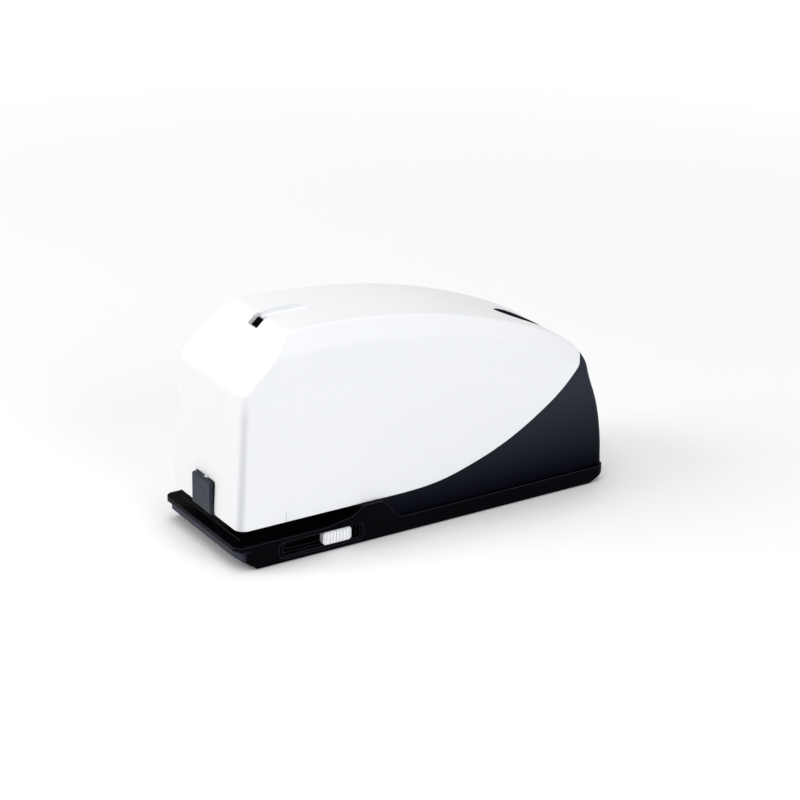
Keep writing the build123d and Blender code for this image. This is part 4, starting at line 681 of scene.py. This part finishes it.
def board(name):
    """Solder mask with copper tracks showing through as lighter lines."""
    n = Shader(name)
    mapping = n.new("Mapping", Vector=n.coord)
    tracks = n.new("TexBrick", Vector=mapping.outputs["Vector"], Scale=260.0,
                   Mortar_Size=0.035, Mortar=(0.05, 0.24, 0.1),
                   Color1=(0.02, 0.13, 0.055), Color2=(0.018, 0.115, 0.05)).outputs
    grain = n.noise(scale=1200.0, detail=2.0)
    col = n.mix(n.remap(grain, to=(0, 0.2)), tracks["Color"], (0.03, 0.17, 0.08))
    return n.finish(col, n.remap(grain, to=(0.28, 0.42)),
                    n.bump(tracks["Fac"], distance=0.00003), Coat_Weight=0.3)


def painted_corner_shade_mask(n):
    """Mask of painted shade: 1 along the two front corners of the cover, fading with distance and
    towards the top.
    """
    corner_x = 31.4 * MM
    corner_y = (3.2 - L_HALF - FRONT_Z * FRONT_RUN / FRONT_RISE) * MM   # continued to z = 0
    x, y, z = n.position()
    dx = n.math("SUBTRACT", n.math("ABSOLUTE", x), corner_x)
    line_y = n.math("ADD", n.math("MULTIPLY", z, FRONT_RUN / FRONT_RISE), corner_y)
    dy = n.math("SUBTRACT", y, line_y)
    distance = n.math("SQRT", n.math("ADD", n.math("MULTIPLY", dx, dx),
                                     n.math("MULTIPLY", dy, dy)))
    near = n.remap(distance, to=(1.0, 0.0), span=(0.0006, 0.0034), interpolation="SMOOTHSTEP")
    return n.math("MULTIPLY", near, n.remap(z, to=(1.0, 0.0), span=(0.072, 0.084)))


def white_moulding(name):
    """Satin white shell: faint flow marks, painted shade at the front corners and along the cut
    edges.
    """
    n = Shader(name)
    flow = n.noise(scale=30.0, detail=4.0, rough=0.6, stretch=(1, 0.3, 1))
    col = n.mottle((0.85, 0.856, 0.868), flow, spread=0.008)
    # Painted shade along the two front upright corners.
    col = n.overlay(col, (0.58, 0.59, 0.61), painted_corner_shade_mask(n), amount=0.9)
    normal, mask = n.rounded(radius=0.0004)
    # Painted shade along the rounded edges.
    col = n.overlay(col, (0.74, 0.75, 0.77), mask, amount=0.5)
    smear = n.noise(scale=120.0, detail=5.0, rough=0.65)
    roughness = n.remap(smear, to=(0.31, 0.41), span=(0.25, 0.75))
    fine = n.noise(scale=2600.0, detail=2.0, rough=0.6)
    return n.finish(col, roughness, n.bump(fine, distance=0.000004, normal=normal),
                    Specular_IOR_Level=0.4)


def black_moulding(name):
    """Polished black base: a rougher band on its front, low down, lightened by a painted
    reflection of the floor; painted highlights along the edges.
    """
    n = Shader(name)
    place = n.position()
    surface = n.new("NewGeometry").outputs["Normal"]
    facing_y = n.new("SeparateXYZ", Vector=surface).outputs["Y"]
    faces_front = n.remap(facing_y, to=(1.0, 0.0), span=(-0.75, -0.35))
    low = n.remap(place["Z"], to=(1.0, 0.0), span=(0.0098, 0.0108))
    ahead = n.remap(place["Y"], to=(1.0, 0.0), span=(-0.092, -0.088))
    satin_and_painted_reflection = n.math("MULTIPLY", n.math("MULTIPLY", faces_front, low), ahead)
    flow = n.noise(scale=40.0, detail=4.0, rough=0.6)
    col = n.mix(n.remap(flow, span=(0.3, 0.7)),
                (0.0008, 0.0008, 0.0018), (0.0014, 0.0014, 0.0026))
    # Painted reflection of the bright floor: the front band low down is lightened.
    col = n.overlay(col, (0.060, 0.063, 0.088), satin_and_painted_reflection, amount=0.85)
    normal, mask = n.rounded(radius=0.00045)
    # Painted highlights along the edges.
    col = n.overlay(col, (0.085, 0.088, 0.105), mask, amount=0.75)
    smear = n.noise(scale=130.0, detail=5.0, rough=0.65)
    roughness = n.math("ADD", n.remap(smear, to=(0.19, 0.25), span=(0.25, 0.75)),
                       n.math("MULTIPLY", satin_and_painted_reflection, 0.15))
    fine = n.noise(scale=1500.0, detail=2.0, rough=0.6)
    return n.finish(col, roughness, n.bump(fine, distance=0.0000015, normal=normal),
                    Specular_IOR_Level=0.025)


def charcoal_moulding(name):
    """Matt charcoal side panel with a blue cast, painted lighter towards its upper edge as if lit
    from above, with painted highlights along its edges.
    """
    n = Shader(name)
    # Painted light: the colour runs from near black low down to a lighter blue-grey at the upper
    # edge.
    up = n.remap(n.position()["Z"], span=(0.012, 0.050))
    col = n.mix(up, (0.0012, 0.0016, 0.0052), (0.0290, 0.0320, 0.0450))
    flow = n.noise(scale=38.0, detail=4.0, rough=0.6, stretch=(1, 0.35, 1))
    col = n.mix(n.remap(flow, to=(0, 0.15), span=(0.35, 0.7)), col, (0.006, 0.007, 0.012))
    normal, mask = n.rounded(radius=0.0004)
    # Painted highlights along the edges.
    col = n.overlay(col, (0.06, 0.065, 0.08), mask, amount=0.45)
    smear = n.noise(scale=150.0, detail=5.0, rough=0.65)
    roughness = n.remap(smear, to=(0.42, 0.54), span=(0.25, 0.75))
    fine = n.noise(scale=2400.0, detail=2.0, rough=0.6)
    return n.finish(col, roughness, n.bump(fine, distance=0.00002, normal=normal),
                    Specular_IOR_Level=0.03)


# Material slot: (builder, its values)
RECIPES = {
    "white_shell": (white_moulding, {}),
    "charcoal_shell": (charcoal_moulding, {}),
    "base_black": (black_moulding, {}),
    # Painted highlight along the edges.
    "black_plastic": (moulded, dict(
        color=(0.016, 0.016, 0.018), rough=0.5, grain=0.00002, grain_scale=1800,
        edge=0.0003, painted_edge_shading=(0.06, 0.06, 0.065), vary=0.15)),
    # Painted shadow: the edges are made near black.
    "tab_plastic": (moulded, dict(
        color=(0.022, 0.027, 0.040), rough=0.42, grain=0.000012, grain_scale=2400,
        edge=0.0004, painted_edge_shading=(0.001, 0.001, 0.002), painted_edge_shading_amount=1.0, vary=0.1,
        specular=0.15)),
    "smoked_lens": (lens, {}),
    # Painted shade along the edges.
    "knob_white": (moulded, dict(
        color=(0.93, 0.935, 0.945), rough=0.36, grain=0.000005, grain_scale=2600,
        edge=0.0003, painted_edge_shading=(0.7, 0.71, 0.74), painted_edge_shading_amount=0.3, vary=0.02)),
    # Painted highlight along the edges.
    "rubber": (moulded, dict(
        color=(0.022, 0.022, 0.022), rough=0.82, grain=0.00004, grain_scale=1500,
        edge=0.0003, painted_edge_shading=(0.06, 0.06, 0.058), vary=0.2, specular=0.25)),
    "black_steel": (metal, dict(
        color=(0.05, 0.05, 0.055), rough=0.4, brush=(6, 1, 1), brush_scale=420.0, stain=0.1)),
    "zinc_steel": (metal, dict(
        color=(0.52, 0.53, 0.55), rough=0.36, brush=(1, 6, 1), brush_scale=420.0, stain=0.12)),
    "bright_steel": (metal, dict(
        color=(0.62, 0.63, 0.65), rough=0.2, brush=(9, 1, 1), brush_scale=380.0, stain=0.05)),
    "staple_steel": (rings, dict(
        color=(0.66, 0.67, 0.7), rough=0.26, pitch=0.00055, depth=0.00006, axis="Y")),
    "bronze": (metal, dict(
        color=(0.5, 0.32, 0.14), rough=0.42, brush_scale=1500.0, brush_depth=0.00001,
        stain=0.18)),
    "brass_part": (metal, dict(
        color=(0.66, 0.5, 0.22), rough=0.26, brush_scale=700.0, stain=0.08)),
    # Painted shade along the edges.
    "gear_white": (moulded, dict(
        color=(0.78, 0.77, 0.72), rough=0.38, grain=0.000006, grain_scale=1800,
        edge=0.0002, painted_edge_shading=(0.62, 0.61, 0.57), painted_edge_shading_amount=0.5, vary=0.03)),
    # Painted highlight along the edges, from the default edge colour.
    "magnet": (moulded, dict(
        color=(0.05, 0.05, 0.055), rough=0.62, grain=0.00002, grain_scale=1200, vary=0.2)),
    "armature": (rings, dict(
        color=(0.3, 0.2, 0.12), rough=0.4, pitch=0.0005, depth=0.00004, axis="X",
        metallic=0.7)),
    "cell_wrap": (cell_sleeve, {}),
    "board_green": (board, {}),
    "led_clear": (clear, dict(tint=(0.75, 0.9, 0.8))),
    "light_guide": (clear, dict(tint=(0.9, 0.93, 0.95))),
    # Painted highlight along the edges, from the default edge colour.
    "wire_red": (moulded, dict(
        color=(0.42, 0.02, 0.018), rough=0.4, grain=0.000006, grain_scale=1600,
        edge=0.0001, vary=0.08)),
}
FINISH = {name: build(name, **values) for name, (build, values) in RECIPES.items()}

for row in frame["record"]["subparts"]:
    slots = frame["nodes"][row["node"]].data.materials
    finish = FINISH[row["material_slot"]]
    if not slots:
        slots.append(finish)
    for k in range(len(slots)):
        slots[k] = finish
cover.data.materials.append(FINISH["white_shell"])
housing.data.materials.append(FINISH["charcoal_shell"])


# =====================================================================
# Floor, light, camera
# =====================================================================
def floor_material():
    """Pale sweep: matt near the object, fading to even white further out."""
    n = Shader("studio_floor")
    cloud = n.noise(scale=1.4, detail=3.0, rough=0.5)
    col = n.mix(n.remap(cloud, span=(0.3, 0.7)), (0.90, 0.903, 0.908), (0.915, 0.916, 0.918))
    grain = n.noise(scale=900.0, detail=2.0)
    n.finish(col, 0.8, n.bump(grain, distance=0.00001), Specular_IOR_Level=0.1)
    glow = n.new("Emission", Color=(1, 1, 1), Strength=1.0)
    radius = n.operate("VectorMath", "LENGTH", n.coord)["Value"]
    camera_ray = n.new("LightPath").outputs["Is Camera Ray"]
    fade = n.math("MULTIPLY", n.remap(radius, span=(0.22, 0.75)), camera_ray)
    blend = n.new("MixShader")
    for socket, value in zip(blend.inputs, (fade, n.bsdf.outputs[0], glow.outputs[0])):
        n.feed(socket, value)
    n.feed(n.tree.nodes["Material Output"].inputs["Surface"], blend.outputs[0])
    return n.mat


def build_floor():
    bm = bmesh.new()
    bmesh.ops.create_circle(bm, cap_ends=True, segments=96, radius=14.0)
    mesh = bpy.data.meshes.new("floor")
    bm.to_mesh(mesh)
    bm.free()
    floor = link_object("floor", mesh)
    mesh.materials.append(floor_material())


def build_world(scene, light_strength, seen_strength):
    """White surroundings, brighter to the camera than to the object."""
    world = bpy.data.worlds.new("studio")
    scene.world = world
    world.use_nodes = True
    tree = world.node_tree
    background = tree.nodes["Background"]
    path = tree.nodes.new("ShaderNodeLightPath")
    strength = tree.nodes.new("ShaderNodeMapRange")
    strength.inputs["To Min"].default_value = light_strength
    strength.inputs["To Max"].default_value = seen_strength
    tree.links.new(path.outputs["Is Camera Ray"], strength.inputs["Value"])
    tree.links.new(strength.outputs["Result"], background.inputs["Strength"])
    background.inputs["Color"].default_value = (1, 1, 1, 1)


def softbox(name, at, size, power, color=(1, 1, 1)):
    """Rectangular light aimed at the middle of the stapler."""
    light = bpy.data.lights.new(name, "AREA")
    light.shape = "RECTANGLE"
    light.size, light.size_y = size
    light.energy = power
    light.color = color
    ob = link_object(name, light)
    ob.location = at
    ob.rotation_mode = "QUATERNION"
    aim = Vector((0, 0, 0.05)) - Vector(at)
    ob.rotation_quaternion = aim.to_track_quat("-Z", "Y")


def build_camera(scene, target, distance, turn, rise, roll):
    """Camera looking at the target; turn is from the front towards +X, angles in degrees."""
    data = bpy.data.cameras.new("camera")
    data.lens = 112.88
    data.sensor_width = 36.0
    data.shift_x, data.shift_y = 0.0149, 0.0016875
    data.clip_start, data.clip_end = 0.05, 60
    camera = link_object("camera", data)
    a, e, r = math.radians(turn), math.radians(rise), math.radians(roll)
    back = Vector((math.sin(a) * math.cos(e), -math.cos(a) * math.cos(e), math.sin(e)))
    right = Vector((math.cos(a), math.sin(a), 0))
    up = Vector((-math.sin(a) * math.sin(e), math.cos(a) * math.sin(e), math.cos(e)))
    right, up = (right * math.cos(r) - up * math.sin(r),
                 right * math.sin(r) + up * math.cos(r))
    camera.rotation_mode = "QUATERNION"
    camera.rotation_quaternion = Matrix((right, up, back)).transposed().to_quaternion()
    camera.location = Vector(target) + back * distance
    scene.camera = camera


build_floor()
scene = bpy.context.scene
scene.view_settings.view_transform = "Standard"
scene.view_settings.look = "None"
build_world(scene, light_strength=0.36, seen_strength=1.0)
softbox("key_front", at=(-0.55, -1.35, 0.95), size=(1.1, 0.9), power=11.5)
softbox("side", at=(1.5, 0.15, 0.75), size=(1.0, 0.8), power=10.5, color=(0.95, 0.975, 1.0))
softbox("top", at=(0.0, -0.25, 1.7), size=(1.4, 1.4), power=14.5)
softbox("back_rim", at=(-0.9, 1.3, 0.9), size=(1.0, 0.8), power=2.5)
build_camera(scene, target=(0, -0.00125, 0.050), distance=1.1692,
             turn=57.73, rise=22.57, roll=-0.77)
